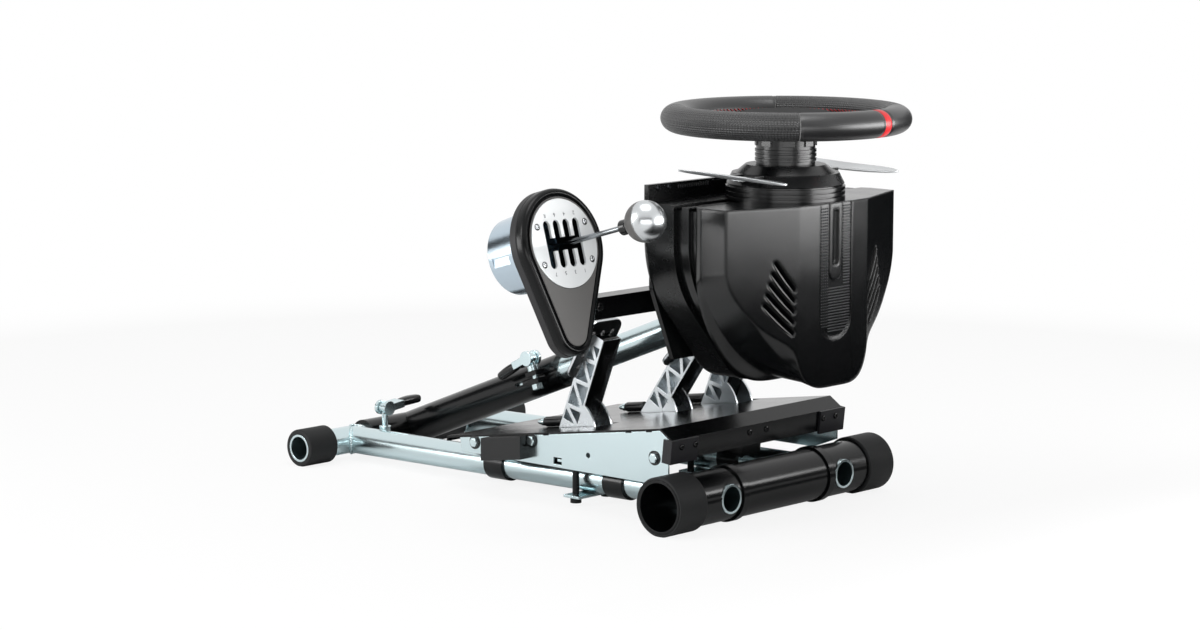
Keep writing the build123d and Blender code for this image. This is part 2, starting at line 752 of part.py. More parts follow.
def tray_under_z(y):
    """Height of the tray's underside."""
    return tray_z(y) - TRAY_SHEET / cos(radians(TRAY_SLOPE))


with BuildPart() as pedal_brackets:
    for pedal in PEDAL_SET:
        rear_y = pedal.hinge[0] - BRACKET_DEPTH
        front_y = pedal.hinge[0] + BRACKET_DEPTH
        foot_z = pedal.hinge[1] - BRACKET_DEPTH
        for sign in (-1, 1):
            cheek_x = pedal.x + sign * (SLOT_WIDTH + BRACKET_SHEET) / 2
            with BuildSketch(Plane.YZ.offset(cheek_x)):
                Polygon(
                    (rear_y, foot_z),
                    (front_y, foot_z),
                    (front_y, tray_under_z(front_y)),
                    (rear_y, tray_under_z(rear_y)),
                    align=None,
                )
            extrude(amount=BRACKET_SHEET / 2, both=True)
        with BuildSketch(Plane.YZ.offset(pedal.x)):
            with Locations(pedal.hinge):
                Circle(PEDAL_PIN_R)
        extrude(amount=SLOT_WIDTH / 2, both=True)
save(pedal_brackets, "pedal_brackets")

with BuildPart() as pedal_buffers:
    for pedal in PEDAL_SET:
        front_y = pedal.slot_ends()[0] - SEAT
        centre = Vector(pedal.x, front_y, tray_z(front_y) + BUFFER_R / cos(radians(TRAY_SLOPE)))
        along = Plane(
            origin=centre,
            x_dir=(1, 0, 0),
            z_dir=(0, -cos(radians(TRAY_SLOPE)), -sin(radians(TRAY_SLOPE))),
        )
        with BuildSketch(along):
            Circle(BUFFER_R)
        extrude(amount=BUFFER_LENGTH)
        with BuildSketch(along.offset(BUFFER_LENGTH)):
            Circle(BUFFER_TIP_R)
        extrude(amount=BUFFER_TIP)
save(pedal_buffers, "pedal_buffers")

# Folding post: clamp sleeve on the rear tube, outer tube, bush and the two clamp levers

POST_PLANE = rising_plane(POST_HINGE, POST_ANGLE)
EAR_OUT = POST_R + EAR_REACH
EAR_BOLT = POST_R + EAR_REACH / 2

with BuildPart() as post_sleeve:
    with BuildSketch(Plane.YZ.offset(-SLEEVE_LENGTH / 2)):
        with Locations((REAR_Y, REAR_Z)):
            Circle(POST_R)
    extrude(amount=SLEEVE_LENGTH)
    with BuildSketch(Plane.YZ.offset(SLEEVE_EAR_X - EAR_LENGTH / 2)):
        with Locations((REAR_Y, REAR_Z)):
            with Locations((EAR_OUT / 2, 0)):
                Rectangle(EAR_OUT, POST_SLIT + 2 * EAR_THICK)
    extrude(amount=EAR_LENGTH)
    with BuildSketch(Plane.XY.offset(REAR_Z - POST_R)):
        with Locations((SLEEVE_EAR_X, REAR_Y + EAR_BOLT)):
            Circle(STUD_R + SEAT)
    extrude(amount=2 * POST_R, mode=Mode.SUBTRACT)
    with BuildSketch(Plane.XY.offset(REAR_Z - POST_SLIT / 2)):
        with Locations((SLEEVE_EAR_X - EAR_LENGTH / 2, REAR_Y)):
            Rectangle(SLEEVE_LENGTH, POST_OD, align=(Align.MIN, Align.MIN))
    extrude(amount=POST_SLIT, mode=Mode.SUBTRACT)
    with BuildSketch(Plane.YZ.offset(-SLEEVE_LENGTH / 2)):
        with Locations((REAR_Y, REAR_Z)):
            Circle(TUBE_R + RUN)
    extrude(amount=SLEEVE_LENGTH, mode=Mode.SUBTRACT)
save(post_sleeve, "post_sleeve")

with BuildPart() as post_outer_tube:
    with BuildSketch(POST_PLANE):
        Circle(POST_R)
    extrude(amount=POST_LENGTH)
    with BuildSketch(POST_PLANE.offset(POST_LENGTH - POST_EAR_BACK - EAR_LENGTH / 2)):
        with Locations((EAR_OUT / 2, 0)):
            Rectangle(EAR_OUT, POST_SLIT + 2 * EAR_THICK)
    extrude(amount=EAR_LENGTH)
    with BuildSketch(POST_PLANE):
        Circle(POST_R - POST_WALL)
    extrude(amount=POST_LENGTH, mode=Mode.SUBTRACT)
    with BuildSketch(POST_PLANE.offset(POST_LENGTH - POST_SLIT_LENGTH)):
        Rectangle(2 * POST_OD, POST_SLIT, align=(Align.MIN, Align.CENTER))
    extrude(amount=POST_SLIT_LENGTH, mode=Mode.SUBTRACT)
    bolt_plane = Plane(
        origin=POST_PLANE.from_local_coords((EAR_BOLT, -POST_R, POST_LENGTH - POST_EAR_BACK)),
        x_dir=(1, 0, 0),
        z_dir=POST_PLANE.y_dir,
    )
    with BuildSketch(bolt_plane):
        Circle(STUD_R + SEAT)
    extrude(amount=POST_OD, mode=Mode.SUBTRACT)
    with BuildSketch(Plane.YZ.offset(-POST_OD)):
        with Locations((REAR_Y, REAR_Z)):
            Circle(POST_R + SEAT)
    extrude(amount=2 * POST_OD, mode=Mode.SUBTRACT)
save(post_outer_tube, "post_outer_tube")

with BuildPart() as post_bush:
    with BuildSketch(POST_PLANE.offset(POST_LENGTH - BUSH_LENGTH)):
        Circle(POST_R - POST_WALL - SEAT)
        Circle(TUBE_R + RUN, mode=Mode.SUBTRACT)
    extrude(amount=BUSH_LENGTH)
save(post_bush, "post_bush")

POST_UP = -POST_PLANE.y_dir
LEVERS = (
    (
        "lower",
        Vector(SLEEVE_EAR_X, REAR_Y + EAR_BOLT, REAR_Z),
        Vector(-1, 0, 0),
        Vector(0, 0, 1),
        EYE_RISE,
        7.0,
    ),
    (
        "upper",
        POST_PLANE.from_local_coords(Vector(EAR_BOLT, 0, POST_LENGTH - POST_EAR_BACK)),
        -POST_PLANE.z_dir,
        POST_UP,
        POST_EYE_RISE,
        -6.0,
    ),
)
EAR_HALF = POST_SLIT / 2 + EAR_THICK

with BuildPart() as clamp_studs:
    for name, base, along, up, rise, grip_tilt in LEVERS:
        stud_plane = Plane(origin=base, x_dir=along, z_dir=up)
        pin_plane = Plane(origin=base + up * rise, x_dir=along, z_dir=along.cross(up))
        with BuildSketch(stud_plane.offset(-EAR_HALF - NUT_HEIGHT)):
            RegularPolygon(NUT_R, 6)
        extrude(amount=NUT_HEIGHT)
        with BuildSketch(stud_plane.offset(-EAR_HALF)):
            Circle(STUD_R)
        extrude(amount=EAR_HALF + rise - EYE_R / 2)
        with BuildSketch(stud_plane.offset(EAR_HALF)):
            Circle(COLLAR_R)
        extrude(amount=min(COLLAR_HEIGHT, rise - LEVER_CHEEK_R - EAR_HALF - LEVER_GAP))
        with BuildSketch(pin_plane):
            Circle(EYE_R)
        extrude(amount=EYE_WIDTH / 2, both=True)
        with BuildSketch(pin_plane):
            Circle(LEVER_PIN_R + RUN)
        extrude(amount=EYE_WIDTH, both=True, mode=Mode.SUBTRACT)
save(clamp_studs, "clamp_studs")

for name, base, along, up, rise, grip_tilt in LEVERS:
    lever_plane = Plane(origin=base + up * rise, x_dir=along, z_dir=along.cross(up))
    fork_half = EYE_WIDTH / 2 + LEVER_GAP
    with BuildPart() as lever:
        for start in (fork_half, -fork_half - LEVER_CHEEK):
            with BuildSketch(lever_plane.offset(start)):
                Circle(LEVER_CHEEK_R)
                Rectangle(
                    LEVER_NECK,
                    LEVER_NECK_HEIGHT,
                    rotation=grip_tilt,
                    align=(Align.MIN, Align.CENTER),
                )
            extrude(amount=LEVER_CHEEK)
        with BuildSketch(lever_plane.offset(-fork_half)):
            Rectangle(
                LEVER_NECK,
                LEVER_NECK_HEIGHT,
                rotation=grip_tilt,
                align=(Align.MIN, Align.CENTER),
            )
            Circle(EYE_R + 4 * LEVER_GAP, mode=Mode.SUBTRACT)
        extrude(amount=2 * fork_half)
        with BuildSketch(lever_plane.offset(-fork_half)):
            Circle(LEVER_PIN_R)
        extrude(amount=2 * fork_half)
    save(lever, f"{name}_lever")

    grip_along = along * cos(radians(grip_tilt)) + up * sin(radians(grip_tilt))
    grip_plane = Plane(
        origin=lever_plane.origin + grip_along * (LEVER_NECK + SEAT),
        x_dir=lever_plane.z_dir,
        z_dir=grip_along,
    )
    with BuildPart() as grip:
        with BuildSketch(grip_plane):
            RectangleRounded(GRIP_WIDTH, GRIP_HEIGHT, GRIP_ROUND)
        extrude(amount=GRIP_LENGTH)
    save(grip, f"{name}_grip")

# Head: inner tube, wheel plate, gussets and shifter arm

HEAD = Plane(origin=(0, HEAD_Y, HEAD_Z), x_dir=(-1, 0, 0), z_dir=(0, 1, 0))
PLATE_BACK = HEAD.offset(-PLATE_SHEET)

with BuildPart() as post_inner_tube:
    with BuildSketch(POST_PLANE.offset(INNER_START)):
        Circle(TUBE_R)
        Circle(TUBE_R - TUBE_WALL, mode=Mode.SUBTRACT)
    extrude(amount=FRAME_LENGTH)
    split(bisect_by=PLATE_BACK, keep=Keep.BOTTOM)
save(post_inner_tube, "post_inner_tube")

with BuildPart() as wheel_plate:
    with BuildSketch(PLATE_BACK):
        Polygon(
            (-PLATE_FOOT_WIDTH / 2, PLATE_FOOT),
            (PLATE_FOOT_WIDTH / 2, PLATE_FOOT),
            (PLATE_WIDTH / 2, PLATE_SHOULDER),
            (PLATE_WIDTH / 2, PLATE_TOP),
            (-PLATE_WIDTH / 2, PLATE_TOP),
            (-PLATE_WIDTH / 2, PLATE_SHOULDER),
            align=None,
        )
    extrude(amount=PLATE_SHEET)
save(wheel_plate, "wheel_plate")

TUBE_END = (HEAD_Y - REAR_Y) / cos(radians(POST_ANGLE))
AXIS_END = POST_PLANE.from_local_coords(Vector(0, 0, TUBE_END))
AXIS_BACK = POST_PLANE.from_local_coords(Vector(0, 0, TUBE_END - GUSSET_REACH))

with BuildPart() as plate_gussets:
    for sign in (-1, 1):
        with BuildSketch(Plane.YZ.offset(sign * (TUBE_R + SEAT + GUSSET_SHEET / 2) - GUSSET_SHEET / 2)):
            Polygon(
                (AXIS_BACK.Y, AXIS_BACK.Z),
                (AXIS_END.Y, AXIS_END.Z),
                (AXIS_END.Y, AXIS_END.Z - GUSSET_HEIGHT),
                align=None,
            )
        extrude(amount=GUSSET_SHEET)
    split(bisect_by=PLATE_BACK, keep=Keep.BOTTOM)
save(plate_gussets, "plate_gussets")

with BuildPart() as shifter_arm:
    with BuildSketch(Plane.YZ.offset(ARM_TUBE_LEFT)):
        with Locations((ARM_TUBE_Y + ARM_TUBE / 2, ARM_TUBE_Z + ARM_TUBE / 2)):
            Rectangle(ARM_TUBE, ARM_TUBE)
            Rectangle(ARM_TUBE - 2 * ARM_TUBE_WALL, ARM_TUBE - 2 * ARM_TUBE_WALL, mode=Mode.SUBTRACT)
    extrude(amount=ARM_TUBE_RIGHT - ARM_TUBE_LEFT)
    with BuildSketch(POST_PLANE):
        Circle(TUBE_R + SEAT)
    extrude(amount=2 * FRAME_LENGTH, mode=Mode.SUBTRACT)
save(shifter_arm, "shifter_arm")

# Wheel base: lower shell, grooved band and hood


def base_outline(inset):
    """Outline of the wheel base seen along its depth: flat top, tapering to a rounded keel."""
    half = BASE_WIDTH / 2
    with BuildSketch() as outline:
        with BuildLine():
            FilletPolyline(
                (-half, BASE_TOP),
                (-half, BASE_SHOULDER),
                (-BASE_KEEL / 2, BASE_BOTTOM),
                (BASE_KEEL / 2, BASE_BOTTOM),
                (half, BASE_SHOULDER),
                (half, BASE_TOP),
                radius=(BASE_SHOULDER_R, BASE_KEEL_R, BASE_KEEL_R, BASE_SHOULDER_R),
            )
            Line((-half, BASE_TOP), (half, BASE_TOP))
        make_face()
        if inset:
            offset(amount=-inset, kind=Kind.INTERSECTION, mode=Mode.REPLACE)
    return outline.sketch


def wheel_plane(height):
    """Plane across the steering axis at a height, with local y pointing forward."""
    return Plane(
        origin=HEAD.from_local_coords(Vector(0, height, AXIS_DEPTH)),
        x_dir=(1, 0, 0),
        z_dir=HEAD.y_dir,
    )


HOOD_START = SHELL_DEPTH + BAND_DEPTH
RIDGE_DEPTH = CREASE_DEPTH + RIDGE_RISE

with BuildPart() as base_shell:
    with BuildSketch(HEAD):
        add(base_outline(0))
    extrude(amount=SHELL_DEPTH)
    back_face = base_shell.faces().sort_by(Axis(HEAD.origin, HEAD.z_dir))[0]
    fillet(back_face.edges(), radius=SHELL_ROUND)
    with BuildSketch(HEAD):
        with Locations((0, BASE_TOP - SHELL_ROUND)):
            Rectangle(LIP_WIDTH, SHELL_ROUND + LIP_HEIGHT, align=(Align.CENTER, Align.MIN))
    extrude(amount=LIP_SHEET)
save(base_shell, "base_shell")

with BuildPart() as base_band:
    with BuildSketch(HEAD.offset(SHELL_DEPTH)):
        add(base_outline(BAND_INSET))
    extrude(amount=BAND_DEPTH - HOOD_FLARE)
    with BuildSketch(HEAD.offset(SHELL_DEPTH + (BAND_DEPTH - HOOD_FLARE - BAND_RIB) / 2)):
        add(base_outline(BAND_RIB_INSET))
    extrude(amount=BAND_RIB)
save(base_band, "base_band")


def keel_outline(line):
    """Outline with a flat top and straight flanks, closed below by a smooth curve through a half line."""
    half, flank = line[0]
    mirrored = [(-x, y) for x, y in reversed(line[:-1])]
    with BuildSketch() as outline:
        with BuildLine():
            Polyline((-half, flank), (-half, BASE_TOP), (half, BASE_TOP), (half, flank))
            Spline(*line, *mirrored)
        make_face()
    return outline.sketch


def hood_plan():
    """Section of the hood across the steering axis: a flat ridge, a crease and a swept wing each side."""
    half = (
        (RIDGE_X, HEAD_Y + RIDGE_DEPTH),
        (CREASE_X, HEAD_Y + CREASE_DEPTH),
        (WING_REACH, HEAD_Y + CREASE_DEPTH - WING_FALL * (WING_REACH - CREASE_X)),
        (WING_REACH, HEAD_Y),
    )
    mirrored = [(-x, y) for x, y in reversed(half)]
    with BuildSketch() as section:
        Polygon(*half, *mirrored, align=None)
    return section.sketch


def strip_outline(top, end, width):
    """Upright strip from a top height down to a rounded end."""
    with BuildSketch() as outline:
        with Locations((0, (top + end) / 2)):
            Rectangle(width, top - end)
        fillet(outline.vertices().sort_by(Axis.Y)[:2], radius=width * 0.45)
    return outline.sketch


HOOD_SECTIONS = (
    (HOOD_START - HOOD_FLARE, RING_LINE),
    (HOOD_START, HOOD_BACK_LINE),
    (HOOD_MID_DEPTH, HOOD_MID_LINE),
    (RIDGE_DEPTH, HOOD_FRONT_LINE),
)

with BuildPart() as base_hood:
    for depth, line in HOOD_SECTIONS:
        with BuildSketch(HEAD.offset(depth)):
            add(keel_outline(line))
    loft(ruled=True)
    with BuildSketch(Plane.XY.offset(HEAD_Z + BASE_BOTTOM)):
        add(hood_plan())
    extrude(amount=BASE_TOP - BASE_BOTTOM, mode=Mode.INTERSECT)
    with BuildSketch(HEAD.offset(RIDGE_DEPTH - STRIP_SINK)):
        add(strip_outline(BASE_TOP, STRIP_END, 2 * RIDGE_X - 2 * STRIP_SINK))
        add(strip_outline(BASE_TOP, STRIP_BAR_END, STRIP_BAR), mode=Mode.SUBTRACT)
    extrude(amount=2 * STRIP_SINK, mode=Mode.SUBTRACT)
    with BuildSketch(HEAD.offset(RIDGE_DEPTH - STRIP_SLOT_SINK)):
        add(strip_outline(STRIP_SLOT_TOP, STRIP_SLOT_END, STRIP_SLOT))
    extrude(amount=2 * STRIP_SLOT_SINK, mode=Mode.SUBTRACT)
    with BuildSketch(HEAD.offset(LOUVRE_FLOOR)):
        for index in range(LOUVRES):
            share = index / (LOUVRES - 1)
            ends = []
            for first, last in zip(LOUVRE_FIRST, LOUVRE_LAST):
                step = Vector(*last) - Vector(*first)
                ends.append(Vector(*first) + step * share)
            middle = (ends[0] + ends[1]) / 2
            slant = ends[0] - ends[1]
            turn = degrees(atan2(slant.Y, slant.X))
            for sign in (-1, 1):
                with Locations((sign * middle.X, middle.Y)):
                    SlotOverall(slant.length, LOUVRE_WIDTH, rotation=sign * turn)
    extrude(amount=RIDGE_DEPTH, mode=Mode.SUBTRACT)
save(base_hood, "base_hood")

# Steering column and wheel


COLLAR_TOP = BASE_TOP + COLLAR_RINGS * (COLLAR_RING + COLLAR_GROOVE)

with BuildPart() as hub_collar:
    for ring in range(COLLAR_RINGS):
        ring_base = BASE_TOP + ring * (COLLAR_RING + COLLAR_GROOVE)
        with BuildSketch(wheel_plane(ring_base)):
            Circle(COLLAR_OD / 2)
        extrude(amount=COLLAR_RING)
        with BuildSketch(wheel_plane(ring_base + COLLAR_RING)):
            Circle(COLLAR_OD / 2 - COLLAR_STEP)
        extrude(amount=COLLAR_GROOVE)
    with BuildSketch(wheel_plane(COLLAR_TOP)):
        Circle(SPINDLE_R)
    extrude(amount=STEM_TOP - COLLAR_TOP - HUB_GAP)
save(hub_collar, "hub_collar")

HUB_BASE = COLLAR_TOP + HUB_GAP
PADDLE_H = HUB_BASE + PADDLE_PIN_RISE


def paddle_pin_plane(sign):
    """Plane across a paddle's hinge pin, facing forward, with local y along the steering axis."""
    return Plane(
        origin=wheel_plane(PADDLE_H).from_local_coords(Vector(sign * PADDLE_PIN_X, 0, 0)),
        x_dir=(-1, 0, 0),
        z_dir=HEAD.z_dir,
    )


with BuildPart() as wheel_hub:
    with BuildSketch(wheel_plane(HUB_BASE)):
        Circle(SKIRT_R)
    with BuildSketch(wheel_plane(HUB_BASE + SKIRT_HEIGHT)):
        Circle(SKIRT_TOP_R)
    loft()
    with BuildSketch(wheel_plane(HUB_BASE + SKIRT_HEIGHT)):
        Circle(CONE_R)
    with BuildSketch(wheel_plane(HUB_BASE + SKIRT_HEIGHT + CONE_HEIGHT)):
        Circle(CONE_TOP_R)
    loft()
    with BuildSketch(wheel_plane(HUB_BASE + SKIRT_HEIGHT + CONE_HEIGHT)):
        Circle(STEM_R)
    extrude(amount=STEM_TOP - HUB_BASE - SKIRT_HEIGHT - CONE_HEIGHT)
    for rib in range(STEM_RIBS):
        rib_base = HUB_BASE + SKIRT_HEIGHT + CONE_HEIGHT + STEM_RIB_START + rib * STEM_RIB_STEP
        with BuildSketch(wheel_plane(rib_base)):
            Circle(STEM_R + STEM_RELIEF)
        extrude(amount=STEM_RIB_HEIGHT)
    with BuildSketch(wheel_plane(STEM_TOP - STEM_PAD_DROP - STEM_PAD_HEIGHT)):
        with PolarLocations(STEM_R, STEM_PADS):
            Rectangle(2 * STEM_RELIEF, STEM_PAD_WIDTH)
    extrude(amount=STEM_PAD_HEIGHT)
    lug_y = PADDLE_TAB / 2 + PADDLE_GAP + PADDLE_LUG_SHEET / 2
    lug_end = PADDLE_PIN_X + PADDLE_LUG / 2
    for side, sign in SIDES:
        with BuildSketch(wheel_plane(PADDLE_H - PADDLE_LUG / 3)):
            with Locations((sign * (lug_end + STEM_R) / 2, 0)):
                with GridLocations(0, 2 * lug_y, 1, 2):
                    Rectangle(lug_end - STEM_R, PADDLE_LUG_SHEET)
        extrude(amount=PADDLE_LUG * 2 / 3)
        with BuildSketch(paddle_pin_plane(sign)):
            Circle(PADDLE_PIN_R + RUN)
        extrude(amount=PADDLE_TAB, both=True, mode=Mode.SUBTRACT)
    with BuildSketch(wheel_plane(HUB_BASE)):
        Circle(SPINDLE_R + RUN)
    extrude(amount=STEM_TOP - HUB_BASE, mode=Mode.SUBTRACT)
save(wheel_hub, "wheel_hub")

RIM_R = (WHEEL_OD - GRIP_SECTION) / 2
RIM_PLANE = wheel_plane(WHEEL_H)

with BuildPart() as wheel_rim:
    with BuildSketch(Plane(origin=RIM_PLANE.origin, x_dir=(1, 0, 0), z_dir=-RIM_PLANE.y_dir)):
        with Locations((RIM_R, 0)):
            Ellipse(GRIP_SECTION / 2, GRIP_SECTION_DEPTH / 2)
    revolve(axis=Axis(RIM_PLANE.origin, RIM_PLANE.z_dir))
save(wheel_rim, "wheel_rim")

SPOKE_LENGTH = RIM_R - GRIP_SECTION / 4

with BuildPart() as wheel_spokes:
    with BuildSketch(wheel_plane(STEM_TOP)):
        Circle(BOSS_R)
        for turn in (0, 180, 270):
            Rectangle(SPOKE_LENGTH, SPOKE_WIDTH, rotation=turn, align=(Align.MIN, Align.CENTER))
    extrude(amount=SPOKE_SHEET)
    with BuildSketch(Plane(origin=RIM_PLANE.origin, x_dir=(1, 0, 0), z_dir=-RIM_PLANE.y_dir)):
        with Locations((RIM_R, 0)):
            Ellipse(GRIP_SECTION / 2 + SEAT, GRIP_SECTION_DEPTH / 2 + SEAT)
    revolve(axis=Axis(RIM_PLANE.origin, RIM_PLANE.z_dir), mode=Mode.SUBTRACT)
save(wheel_spokes, "wheel_spokes")

with BuildPart() as wheel_boss:
    with BuildSketch(wheel_plane(STEM_TOP + SPOKE_SHEET)):
        Circle(BOSS_R)
    extrude(amount=BOSS_HEIGHT)
    fillet(wheel_boss.edges().sort_by(Axis(RIM_PLANE.origin, RIM_PLANE.z_dir))[-1], radius=BOSS_ROUND)
save(wheel_boss, "wheel_boss")

for side, sign in SIDES:
    with BuildPart() as paddle:
        with BuildSketch(wheel_plane(PADDLE_H - PADDLE_SHEET / 2)):
            tab_end = PADDLE_PIN_X + PADDLE_LUG / 2 + PADDLE_GAP
            with Locations((sign * (PADDLE_PIN_X + tab_end) / 2, 0)):
                Rectangle(tab_end - PADDLE_PIN_X, PADDLE_TAB)
            with Locations((sign * (tab_end + PADDLE_TIP) / 2, 0)):
                RectangleRounded(PADDLE_TIP - tab_end, PADDLE_WIDTH, PADDLE_WIDTH / 4)
        extrude(amount=PADDLE_SHEET)
        with BuildSketch(paddle_pin_plane(sign)):
            Circle(PADDLE_PIN_R)
        extrude(amount=PADDLE_TAB / 2 + PADDLE_GAP + PADDLE_LUG_SHEET, both=True)
    save(paddle, f"paddle_{side}")

# Gear shifter: body, gate, housing, gimbal, lever and knob

lift = radians(SHIFT_LIFT)
SHIFT = Plane(origin=(SHIFT_X, SHIFT_Y, SHIFT_Z), x_dir=(-1, 0, 0), z_dir=(0, cos(lift), sin(lift)))
PIVOT = SHIFT.from_local_coords(Vector(SHIFT_LEVER_X, 0, -PIVOT_DEPTH))
SHAFT_PLANE = Plane(origin=PIVOT, x_dir=SHIFT.x_dir, z_dir=SHIFT.y_dir)
BOSS_Y = HOUSING_BACK_R - HOUSING_WALL - GIMBAL_BOSS / 2
SHAFT_HALF = BOSS_Y + GIMBAL_BOSS / 2


def teardrop(inset):
    """Outline of the shifter drawn in by an inset: the hull of its head and foot circles."""
    with BuildSketch() as outline:
        Circle(SHIFT_HEAD_R - inset)
        with Locations((SHIFT_FOOT_SIDE, -SHIFT_FOOT_DROP)):
            Circle(SHIFT_FOOT_R - inset)
        make_hull()
    return outline.sketch


with BuildPart() as shifter_body:
    with BuildSketch(SHIFT.offset(-SHIFT_THICK)):
        add(teardrop(0))
    extrude(amount=SHIFT_THICK)
    fillet(shifter_body.faces().sort_by(Axis(SHIFT.origin, SHIFT.z_dir))[-1].edges(), radius=SHIFT_ROUND)
    with BuildSketch(SHIFT.offset(-SHIFT_SEAM_BACK)):
        add(teardrop(0))
        add(teardrop(SHIFT_SEAM_SINK), mode=Mode.SUBTRACT)
    extrude(amount=SHIFT_SEAM_WIDTH, mode=Mode.SUBTRACT)
    with BuildSketch(SHIFT.offset(-GATE_SHEET)):
        Circle(GATE_R + SEAT)
    extrude(amount=GATE_SHEET, mode=Mode.SUBTRACT)
    with BuildSketch(SHIFT.offset(-SHIFT_THICK)):
        Circle(HOUSING_R - HOUSING_WALL)
    extrude(amount=SHIFT_THICK, mode=Mode.SUBTRACT)
save(shifter_body, "shifter_body")

with BuildPart() as shifter_gate:
    with BuildSketch(SHIFT.offset(-GATE_SHEET)):
        Circle(GATE_R)
        with GridLocations(GATE_STEP, 0, 4, 1):
            SlotOverall(2 * GATE_HALF, GATE_SLOT, rotation=90, mode=Mode.SUBTRACT)
        Rectangle(3 * GATE_STEP + GATE_SLOT, GATE_NEUTRAL, mode=Mode.SUBTRACT)
    extrude(amount=GATE_SHEET)
save(shifter_gate, "shifter_gate")

with BuildPart() as shifter_housing:
    with BuildSketch(SHIFT.offset(-SHIFT_THICK)):
        Circle(HOUSING_R)
    with BuildSketch(SHIFT.offset(-SHIFT_THICK - HOUSING_DEPTH)):
        Circle(HOUSING_BACK_R)
    loft()
    with BuildSketch(SHIFT.offset(-SHIFT_THICK)):
        Circle(HOUSING_R - HOUSING_WALL)
    with BuildSketch(SHIFT.offset(-SHIFT_THICK - HOUSING_DEPTH + HOUSING_WALL)):
        Circle(HOUSING_BACK_R - HOUSING_WALL)
    loft(mode=Mode.SUBTRACT)
    with BuildSketch(SHIFT.offset(-PIVOT_DEPTH - GIMBAL_BOSS)):
        with Locations((SHIFT_LEVER_X, 0)):
            with GridLocations(0, 2 * BOSS_Y, 1, 2):
                Rectangle(2 * GIMBAL_BOSS, GIMBAL_BOSS)
    extrude(amount=2 * GIMBAL_BOSS)
    with BuildSketch(SHAFT_PLANE):
        Circle(GIMBAL_R + RUN)
    extrude(amount=SHAFT_HALF, both=True, mode=Mode.SUBTRACT)
    for side, sign in SIDES:
        flank = Plane(origin=SHIFT.origin, x_dir=SHIFT.z_dir, z_dir=sign * SHIFT.x_dir)
        with BuildSketch(flank.offset(NOTCH_FLOOR)):
            with Locations((-NOTCH_BACK, sign * NOTCH_DROP)):
                Rectangle(NOTCH_LENGTH, NOTCH_HEIGHT)
        extrude(amount=HOUSING_R - NOTCH_FLOOR, mode=Mode.SUBTRACT)
save(shifter_housing, "shifter_housing")

with BuildPart() as shifter_panel:
    with BuildSketch(SHIFT):
        add(teardrop(PANEL_INSET))
        Circle(GATE_R + PANEL_MARGIN, mode=Mode.SUBTRACT)
    extrude(amount=INSERT_DEPTH)
save(shifter_panel, "shifter_panel")

BRACKET_FACE = Plane(
    origin=(ARM_TUBE_RIGHT - ARM_TUBE / 2, ARM_TUBE_Y + ARM_TUBE, ARM_TUBE_Z + ARM_TUBE / 2),
    x_dir=(-1, 0, 0),
    z_dir=(0, 1, 0),
)

with BuildPart() as shifter_bracket:
    with BuildSketch(BRACKET_FACE):
        Rectangle(ARM_TUBE, ARM_TUBE)
    extrude(amount=2 * ARM_TUBE)
    split(bisect_by=SHIFT.offset(-SHIFT_THICK), keep=Keep.BOTTOM)
save(shifter_bracket, "shifter_bracket")

CROSS_PLANE = Plane(origin=PIVOT, x_dir=SHIFT.y_dir, z_dir=SHIFT.x_dir)

with BuildPart() as gear_gimbal:
    with BuildSketch(SHAFT_PLANE):
        Circle(GIMBAL_R)
    extrude(amount=SHAFT_HALF - 2 * SEAT, both=True)
    with BuildSketch(CROSS_PLANE):
        Circle(GIMBAL_HUB_R)
    extrude(amount=GIMBAL_HUB / 2, both=True)
    with BuildSketch(CROSS_PLANE):
        Circle(GEAR_PIN_R + RUN)
    extrude(amount=GIMBAL_HUB, both=True, mode=Mode.SUBTRACT)
save(gear_gimbal, "gear_gimbal")

FORK_IN = GIMBAL_HUB / 2 + GEAR_FORK_GAP
FORK_OUT = FORK_IN + GEAR_FORK
ROD_END = KNOB_REACH - KNOB_R - GEAR_COLLAR

with BuildPart() as gear_lever:
    for start in (FORK_IN, -FORK_OUT):
        with BuildSketch(CROSS_PLANE.offset(start)):
            Circle(GEAR_FORK_R)
            with Locations((0, (GEAR_BRIDGE + GEAR_FORK) / 2)):
                Rectangle(2 * GEAR_ROD_R, GEAR_BRIDGE + GEAR_FORK)
        extrude(amount=GEAR_FORK)
    with BuildSketch(SHIFT.offset(GEAR_BRIDGE - PIVOT_DEPTH)):
        with Locations((SHIFT_LEVER_X, 0)):
            Rectangle(2 * FORK_OUT, 2 * GEAR_ROD_R)
    extrude(amount=GEAR_FORK)
    with BuildSketch(SHIFT.offset(GEAR_BRIDGE - PIVOT_DEPTH)):
        with Locations((SHIFT_LEVER_X, 0)):
            Circle(GEAR_ROD_R)
    extrude(amount=PIVOT_DEPTH - GEAR_BRIDGE + ROD_END)
    with BuildSketch(CROSS_PLANE):
        Circle(GEAR_PIN_R)
    extrude(amount=FORK_IN, both=True)
save(gear_lever, "gear_lever")

with BuildPart() as gear_knob:
    with BuildSketch(SHIFT.offset(ROD_END)):
        with Locations((SHIFT_LEVER_X, 0)):
            Circle(GEAR_COLLAR_R)
    extrude(amount=KNOB_REACH - ROD_END)
    with Locations(SHIFT.from_local_coords(Vector(SHIFT_LEVER_X, 0, KNOB_REACH))):
        Sphere(KNOB_R)
save(gear_knob, "gear_knob")
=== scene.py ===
"""Looks of a folding racing wheel stand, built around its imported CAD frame.

The row frame has +X to the driver's right, +Y forward to the front pipe and +Z up.
Sizes in the classes are millimetres and become metres when a mesh is made.
"""

import logging
from dataclasses import dataclass, field, replace
from enum import Enum
from typing import Any, Sequence

